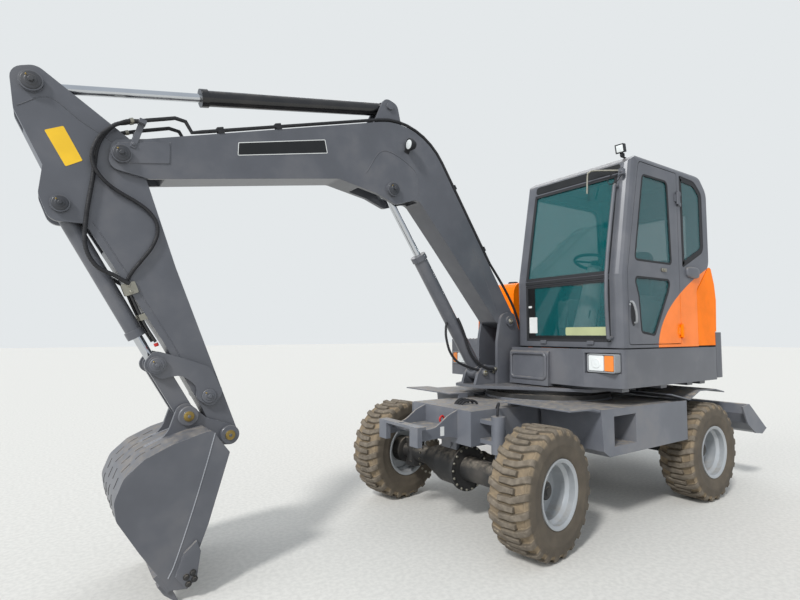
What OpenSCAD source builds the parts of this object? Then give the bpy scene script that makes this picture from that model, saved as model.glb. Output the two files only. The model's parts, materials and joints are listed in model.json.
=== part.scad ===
// Wheeled excavator with a rear dozer blade, in millimetres.
// Built with X forward, Y to the machine's left and Z up, standing on Z = 0.

/* [Wheels] */
// Distance between the two axles
wheelbase = 2120; // [1950:10:2300]
// Distance between the middle planes of the tyres on one axle
track = 1600; // [1560:5:1660]
// Diameter over the tread lugs
tyre_d = 840; // [800:5:880]
// Width over the tyre's shoulders
tyre_w = 300; // [270:5:320]
// Height of a tread lug
lug_h = 26; // [18:1:32]
// Number of lugs round one tyre, on each shoulder
lug_n = 24; // [16:1:30]
// Turn of a lug from the straight line across the tread
lug_turn = 24; // [10:1:35]
// Diameter of the rim where the beads sit
rim_d = 410; // [390:5:430]
// How far the wheel disc sits inboard of the tyre's middle
disc_inset = 40; // [20:5:60]
// Distance from a kingpin to its tyre's middle plane
kingpin_offset = 190; // [180:1:200]
// Angle that the front wheels are turned to the left at rest
steer_rest = 8.7; // [0:0.1:20]

/* [Chassis] */
// Half of the width of the chassis beam
beam_half_w = 345; // [320:5:370]
// Height of the underside of the chassis beam
beam_bottom_z = 640; // [620:5:660]
// Height of the chassis top under the slew ring
beam_top_z = 890; // [870:5:900]
// Thickness of the chassis plates
plate_t = 16; // [10:1:20]
// Outer radius of the slew ring
ring_r = 540; // [500:5:580]
// Distance from the chassis middle to the face of a side box
box_face_y = 920; // [860:5:940]
// Width of the dozer blade
blade_w = 1920; // [1800:10:2000]

/* [Upper structure] */
// Height of the deck plate's underside
deck_z = 985; // [980:1:1000]
// Thickness of the deck plate
deck_t = 25; // [16:1:30]
// Distance from the slewing axis to the face of the cab side
cab_left_y = 925; // [900:5:950]
// Distance from the slewing axis to the cab's inner side, to the right
cab_right_y = -110; // [-118:1:-90]
// Height of the cab floor's underside
cab_floor_z = 1340; // [1330:1:1350]
// Height of the cab roof
cab_roof_z = 2862; // [2800:2:2900]
// Thickness of the cab walls
cab_wall = 45; // [35:1:50]
// Thickness of the door
door_t = 40; // [30:1:44]
// Gap round the door
door_gap = 6; // [5:0.5:8]
// Thickness of the glass
glass_t = 6; // [4:0.5:8]
// Distance from the slewing axis to the back of the counterweight
tail_x = 1640; // [1600:5:1680]

/* [Boom and arm] */
// Distance of the boom's middle plane from the slewing axis
boom_y = -262; // [-270:1:-258]
// Distance of the boom foot pin in front of the slewing axis
foot_x = 330; // [310:5:350]
// Height of the boom foot pin
foot_z = 1560; // [1540:5:1580]
// Distance from the boom foot pin to the arm pivot pin
boom_len = 3250; // [3150:10:3350]
// Slope of the line from the foot pin to the arm pivot pin
boom_angle = 16.35; // [10:0.05:22]
// Width of the boom
boom_w = 206; // [200:1:210]
// Width of the arm
arm_w = 156; // [146:1:160]
// Distance from the arm pivot pin to the bucket pin
arm_len = 1772; // [1700:4:1850]
// Slope of the line from the arm pivot pin down to the bucket pin
arm_angle = -111.3; // [-118:0.1:-104]
// Diameter of the boom and arm pins
pin_d = 60; // [50:1:64]
// Thickness of the boom's and arm's side plates
web_t = 12; // [8:1:16]

/* [Bucket] */
// Width over the bucket's side plates
bucket_w = 700; // [600:10:760]
// Thickness of the bucket's plates
shell_t = 16; // [10:1:20]
// Distance from the bucket pin to the link pin
crank_len = 280; // [270:1:290]
// Direction from the bucket pin to the link pin, from the arm's own line
crank_angle = 140.3; // [138:0.1:143]
// Length of the guide links
guide_len = 361; // [352:1:370]
// Length of the bucket link
link_len = 357; // [350:1:364]

/* [Cylinders] */
// Outer diameter of the boom cylinder
boom_cyl_d = 115; // [100:1:120]
// Outer diameter of the arm cylinder
arm_cyl_d = 100; // [90:1:106]
// Outer diameter of the bucket cylinder
bucket_cyl_d = 92; // [84:1:98]
// Outer diameter of the blade cylinder
blade_cyl_d = 90; // [80:1:96]
// Diameter of the rods
rod_d = 55; // [45:1:60]

/* [Hidden] */
$fn = 48;

// The origin stands under the middle of the whole machine
origin_x = -932;
// Clearance of seats and of pins in their bores
fit = 0.3;
// Height of the wheel axles
axle_z = tyre_d / 2;
front_x = wheelbase / 2;
rear_x = -wheelbase / 2;
kingpin_y = track / 2 - kingpin_offset;

// Places of the pins in the side plane, worked out along the linkage
function dir(a) = [cos(a), sin(a)];
// The point that lies u along and v across a line that starts at o with slope a
function along(o, a, u, v) = o + u * dir(a) + v * dir(a + 90);
// The point at distances r1 from p and r2 from q, on the left of the way from p to q
function meet(p, r1, q, r2) =
    let (d = norm(q - p), a = (r1 * r1 - r2 * r2 + d * d) / (2 * d), h = sqrt(r1 * r1 - a * a))
    p + a * (q - p) / d + h * [p.y - q.y, q.x - p.x] / d;
function slope(p, q) = atan2(q.y - p.y, q.x - p.x);

boom_foot = [foot_x, foot_z];
// Places on the boom, along its pin line and across it
boom_rod_at = [1482, 620];
arm_foot_at = [1685, 1262];
arm_pivot = along(boom_foot, boom_angle, boom_len, 0);
boom_rod_pin = along(boom_foot, boom_angle, boom_rod_at.x, boom_rod_at.y);
arm_barrel_pin = along(boom_foot, boom_angle, arm_foot_at.x, arm_foot_at.y);
boom_barrel_pin = [607, 1108];
// Places on the arm, along its pin line and across it
arm_head_at = [-451, 289];
horn_at = [198, 379];
guide_at = [arm_len - 273, 27];
bucket_pin = along(arm_pivot, arm_angle, arm_len, 0);
arm_rod_pin = along(arm_pivot, arm_angle, arm_head_at.x, arm_head_at.y);
bucket_barrel_pin = along(arm_pivot, arm_angle, horn_at.x, horn_at.y);
guide_pin = along(arm_pivot, arm_angle, guide_at.x, guide_at.y);
bucket_angle = arm_angle + crank_angle;
bucket_link_pin = along(bucket_pin, bucket_angle, crank_len, 0);
link_top_pin = meet(guide_pin, guide_len, bucket_link_pin, link_len);
// Blade pivot and its cylinder
blade_pivot = [-1262, 520];
blade_barrel_pin = [-1290, 800];
blade_rod_pin = [-1650, 600];

// Rounded outlines: each row is a corner's two places and its radius
function corner(a, b, c, r, n) =
    let (u = (a - b) / norm(a - b), v = (c - b) / norm(c - b), half = acos(u * v) / 2,
        mid = b + (u + v) / norm(u + v) * r / sin(half),
        p = b + u * r / tan(half), q = b + v * r / tan(half),
        a0 = slope(mid, p), turn = (slope(mid, q) - a0 + 540) % 360 - 180)
    [for (i = [0:n]) mid + r * dir(a0 + turn * i / n)];
function soft(rows, n = 5) =
    let (k = len(rows), at = [for (row = rows) [row.x, row.y]])
    [for (i = [0:k - 1]) each (rows[i][2] > 0
        ? corner(at[(i + k - 1) % k], at[i], at[(i + 1) % k], rows[i][2], n) : [at[i]])];

// The same rows moved inwards by g
function unit(v) = v / norm(v);
function inset(rows, g) =
    let (k = len(rows), p = [for (row = rows) [row.x, row.y]], ones = [for (row = rows) 1],
        turn = [for (i = [0:k - 1]) cross(p[i], p[(i + 1) % k])] * ones > 0 ? 1 : -1)
    [for (i = [0:k - 1])
        let (u = unit(p[i] - p[(i + k - 1) % k]), v = unit(p[(i + 1) % k] - p[i]), n1 = [-u.y, u.x],
            n2 = [-v.y, v.x],
            q = p[i] + turn * g * (n1 + n2) / (1 + n1 * n2), r = rows[i][2], grow = turn * cross(u,
                v) > 0 ? -g : g)
        [q.x, q.y, r > 0 ? max(2, r + grow) : 0]];

// Open path with rounded corners, and the band of thickness d on its left side
function bend(rows, n = 5) =
    let (k = len(rows) - 1, at = [for (row = rows) [row.x, row.y]])
    [at[0], for (i = [1:k - 1]) each (rows[i][2] > 0 ? corner(at[i - 1], at[i], at[i + 1], rows[i][2],
        n) : [at[i]]), at[k]];
function beside(p, i, d) =
    let (k = len(p) - 1, u = unit(p[max(i, 1)] - p[max(i, 1) - 1]), v = unit(p[min(i,
        k - 1) + 1] - p[min(i, k - 1)]),
        n1 = [-u.y, u.x], n2 = [-v.y, v.x]) p[i] + d * (n1 + n2) / (1 + n1 * n2);
function band(p, d) = concat(p, [for (i = [len(p) - 1:-1:0]) beside(p, i, d)]);

// Moves a piece to where the machine stands
module placed() translate([origin_x, 0, 0]) children();

// Extrudes an outline in the side plane between two distances to the left
module slab(outline, y0, y1)
    translate([0, y1, 0]) rotate([90, 0, 0]) linear_extrude(y1 - y0) polygon(outline);

// Box between two corners
module block(low, high) translate(low) cube(high - low);

// Round bar across the side plane
module cross_pin(at, r, y0, y1)
    translate([at.x, y1, at.y]) rotate([90, 0, 0]) cylinder(r = r, h = y1 - y0);

// Round bar along X
module bar_x(at, r, x0, x1) translate([x0, at.x, at.y]) rotate([0, 90, 0]) cylinder(r = r, h = x1 - x0);

// Runs a frame along a line in the side plane: x along the line, z across it
module on_line(p, a, y = 0) translate([p.x, y, p.y]) rotate([0, -a, 0]) children();

// Straight round tube between two points
module tube(p, q, r) {
    d = q - p;
    translate(p) rotate([0, acos(d.z / norm(d)), atan2(d.y, d.x)]) cylinder(r = r, h = norm(d), $fn = 20);
}

// Smooth route through a few points, n steps between each two
function curve_at(a, b, c, d, t) = 0.5 * ((2 * b) + (c - a) * t + (2 * a - 5 * b + 4 * c - d) * t * t
    + (3 * b - a - 3 * c + d) * t * t * t);
function route(p, n = 3) = let (k = len(p) - 1)
    [for (i = [0:k - 1], j = [0:n - 1]) curve_at(p[max(i - 1, 0)], p[i], p[i + 1], p[min(i + 2, k)], j / n),
        p[k]];

// Round tube along a route that has no stretch along the vector side
module pipe(p, r, sides = 10, side = [0, 1, 0]) {
    last = len(p) - 1;
    rings = [for (i = [0:last])
        let (t = p[min(i + 1, last)] - p[max(i - 1, 0)], u = cross(t, side) / norm(cross(t, side)),
            v = cross(t, u) / norm(t))
        for (k = [0:sides - 1]) p[i] + r * (cos(360 * k / sides) * u + sin(360 * k / sides) * v)];
    walls = [for (i = [0:last - 1], k = [0:sides - 1]) let (a = i * sides, b = (k + 1) % sides)
        [a + k, a + sides + k, a + sides + b, a + b]];
    polyhedron(rings, concat(walls, [[for (k = [0:sides - 1]) k]],
        [[for (k = [sides - 1:-1:0]) last * sides + k]]), convexity = 6);
}

// Cylinder barrel from its foot eye, along X from the origin
module barrel(d, length, eye_w, eye_r) {
    difference() {
        union() {
            cross_pin([0, 0], eye_r, -eye_w / 2, eye_w / 2);
            block([0, -eye_w / 2, -eye_r * 0.6], [eye_r + 12, eye_w / 2, eye_r * 0.6]);
            bar_x([0, 0], d / 2, eye_r + 10, length);
            bar_x([0, 0], d / 2 + 8, length - 46, length);
        }
        cross_pin([0, 0], pin_d / 2 + fit, -eye_w, eye_w);
        bar_x([0, 0], rod_d / 2 + fit, eye_r + 40, length + 1);
    }
}

// Rod from inside its barrel to its eye, along X, with the eye at the far end
module rod(x0, length, eye_w, eye_r)
    difference() {
        union() {
            bar_x([0, 0], rod_d / 2, x0, length - eye_r + 6);
            cross_pin([length, 0], eye_r, -eye_w / 2, eye_w / 2);
        }
        cross_pin([length, 0], pin_d / 2 + fit, -eye_w, eye_w);
    }

// Wheels

// Rim section: radius, distance outboard of the tyre's middle
flange_r = rim_d / 2 + 17;
flange_y = tyre_w / 2 - 18;
hub_r = 60;
module rim_shape() {
    seat_r = rim_d / 2;
    well_r = seat_r - 23;
    wall = 9;
    disc_y = -disc_inset;
    rotate([-90, 0, 0]) rotate_extrude($fn = 64) polygon([
        [flange_r, flange_y + 11], [flange_r, flange_y], [seat_r, flange_y], [seat_r, 95], [well_r, 75],
        [well_r, -35], [seat_r, -60], [seat_r, -flange_y], [flange_r, -flange_y],
        [flange_r, -flange_y - 11], [flange_r - 8, -flange_y - 11], [seat_r - wall, -flange_y - 2],
        [seat_r - wall, -64], [well_r - wall, disc_y - 2], [well_r - wall, disc_y + 12],
        [110, disc_y + 12], [102, disc_y], [hub_r + fit, disc_y], [hub_r + fit, disc_y + 14],
        [0, disc_y + 14], [0, 34], [62, 34], [72, 26], [78, disc_y + 14], [104, disc_y + 14],
        [114, disc_y + 26], [well_r - wall, disc_y + 26], [well_r - wall, 72], [seat_r - wall, 92],
        [seat_r - wall, flange_y + 2], [flange_r - 8, flange_y + 11]]);
}

// Tyre section: closed ring that fills the space between the flanges
module tyre_shape() {
    bead_r = rim_d / 2 + fit;
    edge = flange_y - fit;
    half = tyre_w / 2;
    rotate([-90, 0, 0]) rotate_extrude($fn = 72) polygon([
        for (side = [1, -1]) each [for (i = side > 0 ? [0:1:7] : [7:-1:0])
            let (p = [[bead_r, edge], [flange_r + 0.4, edge], [flange_r + 2, half - 4], [flange_r + 40,
                half],
                [tyre_d / 2 - 90, half - 1], [tyre_d / 2 - 30, half - 6], [tyre_d / 2 - 7, half - 18],
                [tyre_d / 2, half - 38]][i]) [p.x, side * p.y]]]);
}

// Puts a wheel piece at a corner: front or rear, left (1) or right (-1)
module at_corner(front, side)
    if (front) translate([front_x, side * kingpin_y, axle_z]) rotate([0, 0, steer_rest])
        translate([0, side * kingpin_offset, 0]) mirror([0, side > 0 ? 0 : 1, 0]) children();
    else translate([rear_x, side * track / 2, axle_z]) mirror([0, side > 0 ? 0 : 1, 0]) children();

// Grooves between the lugs, on both shoulders, each half a step on from the other side's
module lug_grooves() {
    step = 360 / lug_n;
    wide = PI * tyre_d / lug_n * 0.4;
    for (side = [1, -1], i = [0:lug_n - 1]) rotate([0, (i + (side > 0 ? 0 : 0.5)) * step, 0])
        translate([tyre_d / 2 - lug_h, side * 30, 0]) rotate([side * lug_turn, 0, 0])
            translate([0, side > 0 ? 0 : -tyre_w / 2, -wide / 2]) cube([60, tyre_w / 2, wide]);
}

module tyre(front, side) placed() color("#3b3631") at_corner(front, side) difference() {
    tyre_shape();
    lug_grooves();
}
module rim(front, side) placed() color("#b9bcbe") at_corner(front, side) rim_shape();

// Chassis

drum_r = 110;
// Height of the pin that the front axle swings on
trunnion_z = 606;
// Distance of the axle's lock cylinders from the middle
lock_y = 478;
// Reach of a hub's face and of its pilot from the kingpin or the wheel's middle
hub_face = disc_inset + fit;
hub_tip = disc_inset - 14 + fit;

module knuckle(side) placed() color("#2c2c2b")
    translate([front_x, side * kingpin_y, axle_z]) rotate([0, 0, steer_rest])
        mirror([0, side > 0 ? 0 : 1, 0]) {
            cylinder(r = 52, h = 159, center = true);
            rotate([-90, 0, 0]) {
                cylinder(r = 46, h = 70);
                translate([0, 0, 62]) cylinder(r = drum_r, h = kingpin_offset - hub_face - 62);
                cylinder(r = hub_r, h = kingpin_offset - hub_tip);
            }
            block([-150, -10, -24], [-30, 24, 24]);
        }

module front_axle() placed() color("#2b2b2a") {
    yoke = 60;
    difference() {
        union() {
            // Axle tube with its offset differential
            rotate([-90, 0, 0]) translate([front_x, -axle_z, -kingpin_y + 80])
                cylinder(r = 72, h = 2 * (kingpin_y - 80));
            rotate([-90, 0, 0]) translate([front_x, -axle_z, 120]) cylinder(r1 = 92, r2 = 84, h = 330);
            rotate([-90, 0, 0]) translate([front_x, -axle_z, 96]) cylinder(r = 172, h = 26);
            rotate([-90, 0, 0]) translate([front_x, -axle_z, -120]) cylinder(r = 150, h = 220);
            rotate([-90, 0, 0]) translate([front_x, -axle_z, -330]) cylinder(r1 = 84, r2 = 150, h = 212);
            // Pinion housing towards the driveline
            bar_x([20, axle_z], 78, front_x - 260, front_x);
            // Trunnion boss that hangs in the chassis
            bar_x([0, trunnion_z], 50, front_x - 66, front_x + 66);
            block([front_x - 60, -46, axle_z + 60], [front_x + 60, 46, trunnion_z]);
            for (side = [1, -1]) {
                translate([front_x, side * kingpin_y, axle_z]) for (top = [1, -1])
                    translate([0, 0, top > 0 ? 80 : -114]) cylinder(r = yoke, h = 34);
                for (top = [1, -1]) translate([front_x, side * (kingpin_y - 48), axle_z + top * 97])
                    cube([2 * yoke - 8, 96, 34], center = true);
                translate([front_x, side * (kingpin_y - 80), axle_z]) cube([2 * yoke - 8, 34, 228],
                    center = true);
                // Pad under the oscillation lock
                translate([front_x + 40, side * lock_y, axle_z + 62]) cylinder(r = 44, h = 24);
            }
            // Steering cylinder behind the tube
            rotate([-90, 0, 0]) translate([front_x - 128, -axle_z - 10, -200]) cylinder(r = 38, h = 400);
            rotate([-90, 0, 0]) translate([front_x - 128, -axle_z - 10, -420]) cylinder(r = 18, h = 840);
            for (side = [1, -1]) block([front_x - 130, side * 205 - 14, axle_z - 26], [front_x - 60,
                side * 205 + 14, axle_z + 40]);
        }
        bar_x([0, trunnion_z], 30 + fit, front_x - 80, front_x + 80);
    }
}

module rear_axle() placed() color("#2b2b2a") {
    rotate([-90, 0, 0]) translate([rear_x, -axle_z, -track / 2 + 140])
        cylinder(r = 80, h = track - 280);
    rotate([-90, 0, 0]) translate([rear_x, -axle_z, -120]) cylinder(r = 165, h = 240);
    bar_x([0, axle_z], 90, rear_x, rear_x + 240);
    for (side = [1, -1]) {
        translate([rear_x, side * track / 2, axle_z]) mirror([0, side > 0 ? 1 : 0, 0]) rotate([-90, 0, 0]) {
            translate([0, 0, hub_face]) cylinder(r = drum_r, h = 110);
            translate([0, 0, hub_tip]) cylinder(r = hub_r, h = 140);
        }
        // Pads bolted under the chassis beam
        block([rear_x - 70, side * 270 - 50, axle_z + 60], [rear_x + 70, side * 270 + 50, beam_bottom_z]);
    }
}

// Gearbox with its motor, and the shaft to each axle
module driveline() placed() color("#333333") {
    gear_x = -330;
    block([gear_x, -120, 470], [gear_x + 330, 130, beam_bottom_z]);
    bar_x([0, axle_z], 36, rear_x + 240 + fit, gear_x + 120);
    translate([gear_x + 60, -100, axle_z - 60]) cube([230, 220, 120]);
    bar_x([20, axle_z], 36, gear_x + 250, front_x - 260 - fit);
    for (x = [rear_x + 262, gear_x - 40, gear_x + 330, front_x - 290])
        bar_x([x > gear_x + 100 ? 20 : 0, axle_z], 52, x - 18, x + 18);
}

box_front_x = front_x + 180;
box_rear_x = front_x - 125;
lip_x = 1640;
module frame() placed() color("#4a4c50") {
    t = plate_t;
    top = beam_top_z;
    low = beam_bottom_z;
    difference() {
        union() {
            // Long beam and wider front box
            block([-1240, -beam_half_w, low], [box_front_x, beam_half_w, top]);
            // Pedestal under the slew ring
            translate([0, 0, top - 1]) cylinder(r = ring_r + 12, h = 21);
        }
        block([-1240 + t, -beam_half_w + t, low - 1], [box_rear_x - t, beam_half_w - t, top - t]);
        block([box_rear_x, -beam_half_w + t, low - 1], [box_front_x - t, beam_half_w - t, top - t]);
        // Open swivel well under the ring
        cylinder(r = ring_r - 170, h = 2000);
    }
    // Trunnion hangers of the front axle with their pin
    for (x = [front_x - 96, front_x + 66 + fit]) difference() {
        block([x, -90, trunnion_z - 44], [x + 30 - fit, 90, low + 40]);
        bar_x([0, trunnion_z], 30 + fit, 0, 2000);
    }
    bar_x([0, trunnion_z], 30, front_x - 104, front_x + 104);
    for (x = [front_x - 108, front_x + 96]) bar_x([0, trunnion_z], 40, x, x + 12);
    for (x = [front_x - 96, front_x + 66 + fit])
        block([x, -beam_half_w + 1, low], [x + 30 - fit, beam_half_w - 1, low + 30]);
    // Tow lip with its gussets
    for (side = [1, -1]) {
        slab(soft([[box_front_x - 1, top - 6, 0], [box_front_x - 1, low + 40, 0], [1330, low + 60, 0],
            [lip_x - 4, 690, 0], [lip_x - 4, 770, 0], [1450, 770, 160], [1330, top - 40, 60]]),
            side > 0 ? 185 : -201, side > 0 ? 201 : -185);
        // Front corner tabs that turn down
        block([lip_x - 40, side > 0 ? 150 : -245, 662], [lip_x, side > 0 ? 245 : -150, 800]);
    }
    block([box_front_x - 1, -186, 738], [lip_x - 80, 186, 752]);
    difference() {
        block([lip_x - 75, -245, 780], [lip_x, 245, 800]);
        translate([lip_x - 38, 0, 700]) cylinder(d = 40, h = 200);
    }
    // Oscillation lock cylinders on the front box
    for (side = [1, -1]) {
        translate([front_x + 40, side * lock_y, axle_z + 86 + fit]) cylinder(r = 26, h = 120);
        translate([front_x + 40, side * lock_y, 600]) cylinder(r = 50, h = 260);
        for (z = [660, 800]) block([front_x - 10, side > 0 ? beam_half_w - 1 : -lock_y, z],
            [front_x + 90, side > 0 ? lock_y : -beam_half_w + 1, z + 30]);
    }
    // Ears for the blade and its cylinder, with tie-down holes
    for (side = [1, -1]) {
        difference() {
            slab(soft([[-1225, 700, 0], [-1225, 470, 0], [-1300, 470, 40], [-1310, 570, 40], [-1250, 700,
                0]]),
                side * 300 - 25, side * 300 + 25);
            cross_pin(blade_pivot, pin_d / 2 - 10 + fit, -500, 500);
        }
        difference() {
            slab(soft([[-1225, 870, 0], [-1225, 720, 0], [-1300, 750, 30], [-1330, 820, 40], [-1280, 860,
                30]]),
                side * 64 - 12, side * 64 + 12);
            cross_pin(blade_barrel_pin, 25 + fit, -500, 500);
        }
        difference() {
            slab(soft([[-1225, 700, 0], [-1225, 620, 0], [-1275, 620, 40], [-1320, 660, 34], [-1275, 700,
                40]]),
                side * 200 - 12, side * 200 + 12);
            cross_pin([-1283, 660], 20, -500, 500);
        }
    }
    cross_pin(blade_barrel_pin, 25, -90, 90);
}

// Side boxes with a step pocket in the left and right face
module toolboxes() placed() color("#4f5155")
    for (side = [1, -1]) mirror([0, side > 0 ? 0 : 1, 0]) {
        wall = 8;
        inner_y = beam_half_w + 40;
        difference() {
            slab([[-649, 573], [-649, 892], [538, 912], [510, 618], [440, 573]], inner_y, box_face_y);
            difference() {
                slab([[-641, 581], [-641, 864], [529, 864], [502, 622], [437, 581]], inner_y + wall,
                    box_face_y - wall);
                // Walls of the step pocket
                block([104 - wall, box_face_y - 210, 560], [383 + wall, box_face_y + 1, 900]);
            }
            block([104, box_face_y - 200, 640], [383, box_face_y + 1, 853]);
            translate([0, 0, 872]) cylinder(r = ring_r + 26, h = 100);
        }
        // Brackets to the beam
        for (x = [-560, -60, 430]) block([x, beam_half_w, 680], [x + 60, inner_y + 1, 860]);
    }

// Mudguard plates over the front and rear wheels
module fenders() placed() color("#54575b")
    for (side = [1, -1]) mirror([0, side > 0 ? 0 : 1, 0]) {
        t = 9;
        slab([[560, 914], [640, 930], [900, 936], [900, 936 - t], [642, 930 - t], [562, 914 - t]],
            beam_half_w - 60, box_face_y + 10);
        slab(band([[-420, 960], [-705, 900], [-881, 964], [-1171, 956], [-1330, 925]], t), 430, box_face_y);
        block([700, beam_half_w - 60, beam_top_z], [800, beam_half_w - 30, 926]);
        block([-1020, beam_half_w - 30, beam_top_z], [-920, 431, 952]);
    }

// Lower race of the slew ring, on the pedestal
module slew_ring() placed() color("#2e2e30") difference() {
    union() {
        translate([0, 0, beam_top_z + 20]) cylinder(r = ring_r, h = 36);
        translate([0, 0, beam_top_z + 56]) cylinder(r = ring_r - 60, h = 22);
    }
    cylinder(r = ring_r - 150, h = 2000);
}

// Rear dozer blade, raised
blade_tip = [-2093, 523];
module blade() placed() color("#5a5d61") {
    half = blade_w / 2;
    // Curved mould board and its cutting edge
    slab([[-1717, 777], [-1700, 690], [-1745, 600], [-1850, 520], [-1990, 480], [-2093, 523], [-2085, 535],
        [-1990, 497], [-1860, 536], [-1762, 612], [-1718, 694], [-1735, 783]], -half, half);
    for (side = [1, -1]) {
        slab([[-1589, 769], [-1717, 777], [-1735, 783], [-2093, 523], [-1997, 482], [-1850, 500], [-1690,
            600]],
            side > 0 ? half - 14 : -half, side > 0 ? half : -half + 14);
        // Arms to the chassis
        difference() {
            slab(soft([[-1215, 565, 45], [-1215, 475, 45], [-1310, 470, 0], [-1700, 510, 0], [-1760, 590,
                0],
                [-1690, 640, 0], [-1330, 572, 0]]), side * 255 - 18, side * 255 + 18);
            cross_pin(blade_pivot, pin_d / 2 - 10 + fit, -500, 500);
        }
        cross_pin(blade_pivot, pin_d / 2 - 10, side * 290 - 54, side * 290 + 40);
    }
    // Ears of the blade cylinder
    for (side = [1, -1])
        slab(soft([[-1735, 640, 0], [-1740, 560, 0], [-1640, 555, 0], [-1605, 600, 40], [-1660, 650, 30]]),
            side * 63 - 9, side * 63 + 9);
}

blade_cyl_len = norm(blade_rod_pin - blade_barrel_pin);
module at_blade_cyl() placed() on_line(blade_barrel_pin, slope(blade_barrel_pin, blade_rod_pin)) children();
module blade_barrel() color("#3f4145") at_blade_cyl() difference() {
    union() {
        cross_pin([0, 0], 42, -51, 51);
        bar_x([0, 0], blade_cyl_d / 2, 30, 320);
    }
    cross_pin([0, 0], 25 + fit, -80, 80);
    bar_x([0, 0], rod_d / 2 + fit, 70, 321);
}
module blade_rod() color("#d6d8da") at_blade_cyl() difference() {
    union() {
        bar_x([0, 0], rod_d / 2, 130, blade_cyl_len - 30);
        cross_pin([blade_cyl_len, 0], 40, -48, 48);
    }
    cross_pin([blade_cyl_len, 0], 25, -80, 80);
}

// Upper structure

rail_z = deck_z + deck_t + 30;
module deck() placed() color("#4a4c50") {
    z0 = deck_z;
    z1 = deck_z + deck_t;
    difference() {
        union() {
            // Deck plate, narrower towards the boom foot
            translate([0, 0, z0]) linear_extrude(deck_t) polygon([[-1380, -520], [-1380, 520], [-200, 640],
                [230, 640], [400, 330], [735, -110], [735, -400], [330, -640], [-200, -640]]);
            // Rails that carry the cab and the tank
            for (x = [-1060, -840, -420, 120]) block([x, -860, z1 - 1], [x + 90, 880, rail_z]);
            // Upper race of the slew ring
            translate([0, 0, beam_top_z + 78 + fit]) cylinder(r = ring_r - 70, h = 30);
        }
        translate([0, 0, z0 - 40]) cylinder(r = 400, h = 40);
        translate([0, 0, z0 - 40]) cylinder(r = 190, h = 100);
    }
    // Cab mounts
    for (x = [-795, -375, 140], y = [20, 640]) translate([x, y, rail_z - 1])
        cylinder(r = 38, h = cab_floor_z - fit - rail_z + 1);
    // Boom brackets
    for (side = [1, -1]) {
        y = boom_y + side * (boom_w / 2 + fit + 14);
        difference() {
            slab(soft([[490, z1 - 1, 0], [480, 1390, 200], [430, foot_z + 60, 90], [foot_x - 60,
                foot_z + 95, 80],
                [foot_x - 115, foot_z - 60, 60], [60, 1290, 0], [-250, 1230, 0], [-330, z1 - 1, 0]]),
                y - 14, y + 14);
            cross_pin(boom_foot, pin_d / 2 + fit, -800, 800);
        }
        // Front feet plates round the boom cylinder's foot
        difference() {
            slab(soft([[430, z1 - 1, 0], [430, 1160, 0], [boom_barrel_pin.x, 1178, 60],
                [boom_barrel_pin.x + 75, 1100, 60], [715, z1 - 1, 0]]),
                boom_y + side * 80 - 14, boom_y + side * 80 + 14);
            cross_pin(boom_barrel_pin, pin_d / 2 + fit, -800, 800);
        }
    }
    block([-330, boom_y - boom_w / 2 - 1, z1 - 1], [-300, boom_y + boom_w / 2 + 1, 1230]);
    block([420, boom_y - boom_w / 2 - 1, z1 - 1], [440, boom_y + boom_w / 2 + 1, 1120]);
    // Pins of the boom foot and of the boom cylinder
    cross_pin(boom_foot, pin_d / 2, boom_y - boom_w / 2 - 48, boom_y + boom_w / 2 + 48);
    for (side = [1, -1]) translate([foot_x, boom_y + side * (boom_w / 2 + 37), foot_z])
        rotate([90, 0, 0]) cylinder(r = 46, h = 18, center = true);
    cross_pin(boom_barrel_pin, pin_d / 2, boom_y - 108, boom_y + 108);
}

// Skirt under the cab and round its front corner, with the deck's front cover
skirt_z = deck_z + 55;
skirt_rear_x = -1190;
module skirt() placed() color("#4a4c50") {
    z1 = cab_floor_z - 10;
    // Side panel that runs round the front corner
    difference() {
        translate([0, 0, skirt_z]) linear_extrude(z1 - skirt_z)
            polygon(band(bend([[skirt_rear_x, cab_left_y, 0], [250, cab_left_y, 70], [345, 640, 120],
                [345, -90, 0]]), -30));
        // Recess for the headlamp
        block([200, 655, 1148], [500, 905, 1302]);
    }
    block([195, 640, 1140], [245, 900, 1310]);
    // Front cover over the deck
    slab(soft([[316, skirt_z - 20, 0], [316, z1 - 20, 0], [372, z1 - 30, 30], [380, skirt_z - 20, 0]]),
        -89, 330);
    // Ledges on the deck rails
    for (x = [-1060, -420, 120]) block([x + 10, 700, rail_z], [x + 80, cab_left_y - 29, skirt_z + 30]);
    // Right front box with the tank
    difference() {
        block([-20, -925, skirt_z], [330, -430, 1392]);
        block([-10, -915, skirt_z + 10], [320, -440, 1382]);
    }
    block([130, -850, rail_z], [180, -460, skirt_z + 1]);
}

weight_top_z = 1460;
module counterweight() placed() color("#4a4c50") {
    z0 = deck_z + 70;
    intersection() {
        translate([0, 0, z0]) linear_extrude(weight_top_z - z0) difference() {
            polygon(soft([[skirt_rear_x - 6, -cab_left_y, 0], [-1330, -cab_left_y, 150], [-tail_x - 40,
                -560, 260],
                [-tail_x - 40, 560, 260], [-1330, cab_left_y, 150], [skirt_rear_x - 6, cab_left_y, 0]], 8));
            polygon([[-1134, -700], [-1134, 700], [-1500, 560], [-1500, -560]]);
        }
        translate([0, 0, 800]) cylinder(r = tail_x + 25, h = 1000, $fn = 128);
    }
    block([-1390, -500, deck_z + deck_t], [-1300, 500, z0 + 20]);
    block([-1520, -560, z0], [-1300, 560, z0 + 30]);
}

// Side outline of the orange body behind the cab
body_rows = [[-886, 1345, 0], [-886, 1818, 40], [-1118, 2046, 30], [-1152, 2030, 20], [-1205, 1890, 60],
    [-1229, 1750, 60],
    [-1212, 1466, 0], [-1190, 1466, 0], [-1190, 1345, 0]];
hood_hinge = [-1192, 1994];
hood_half_w = 740;
hinge_y = [-400, 400];

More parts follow.
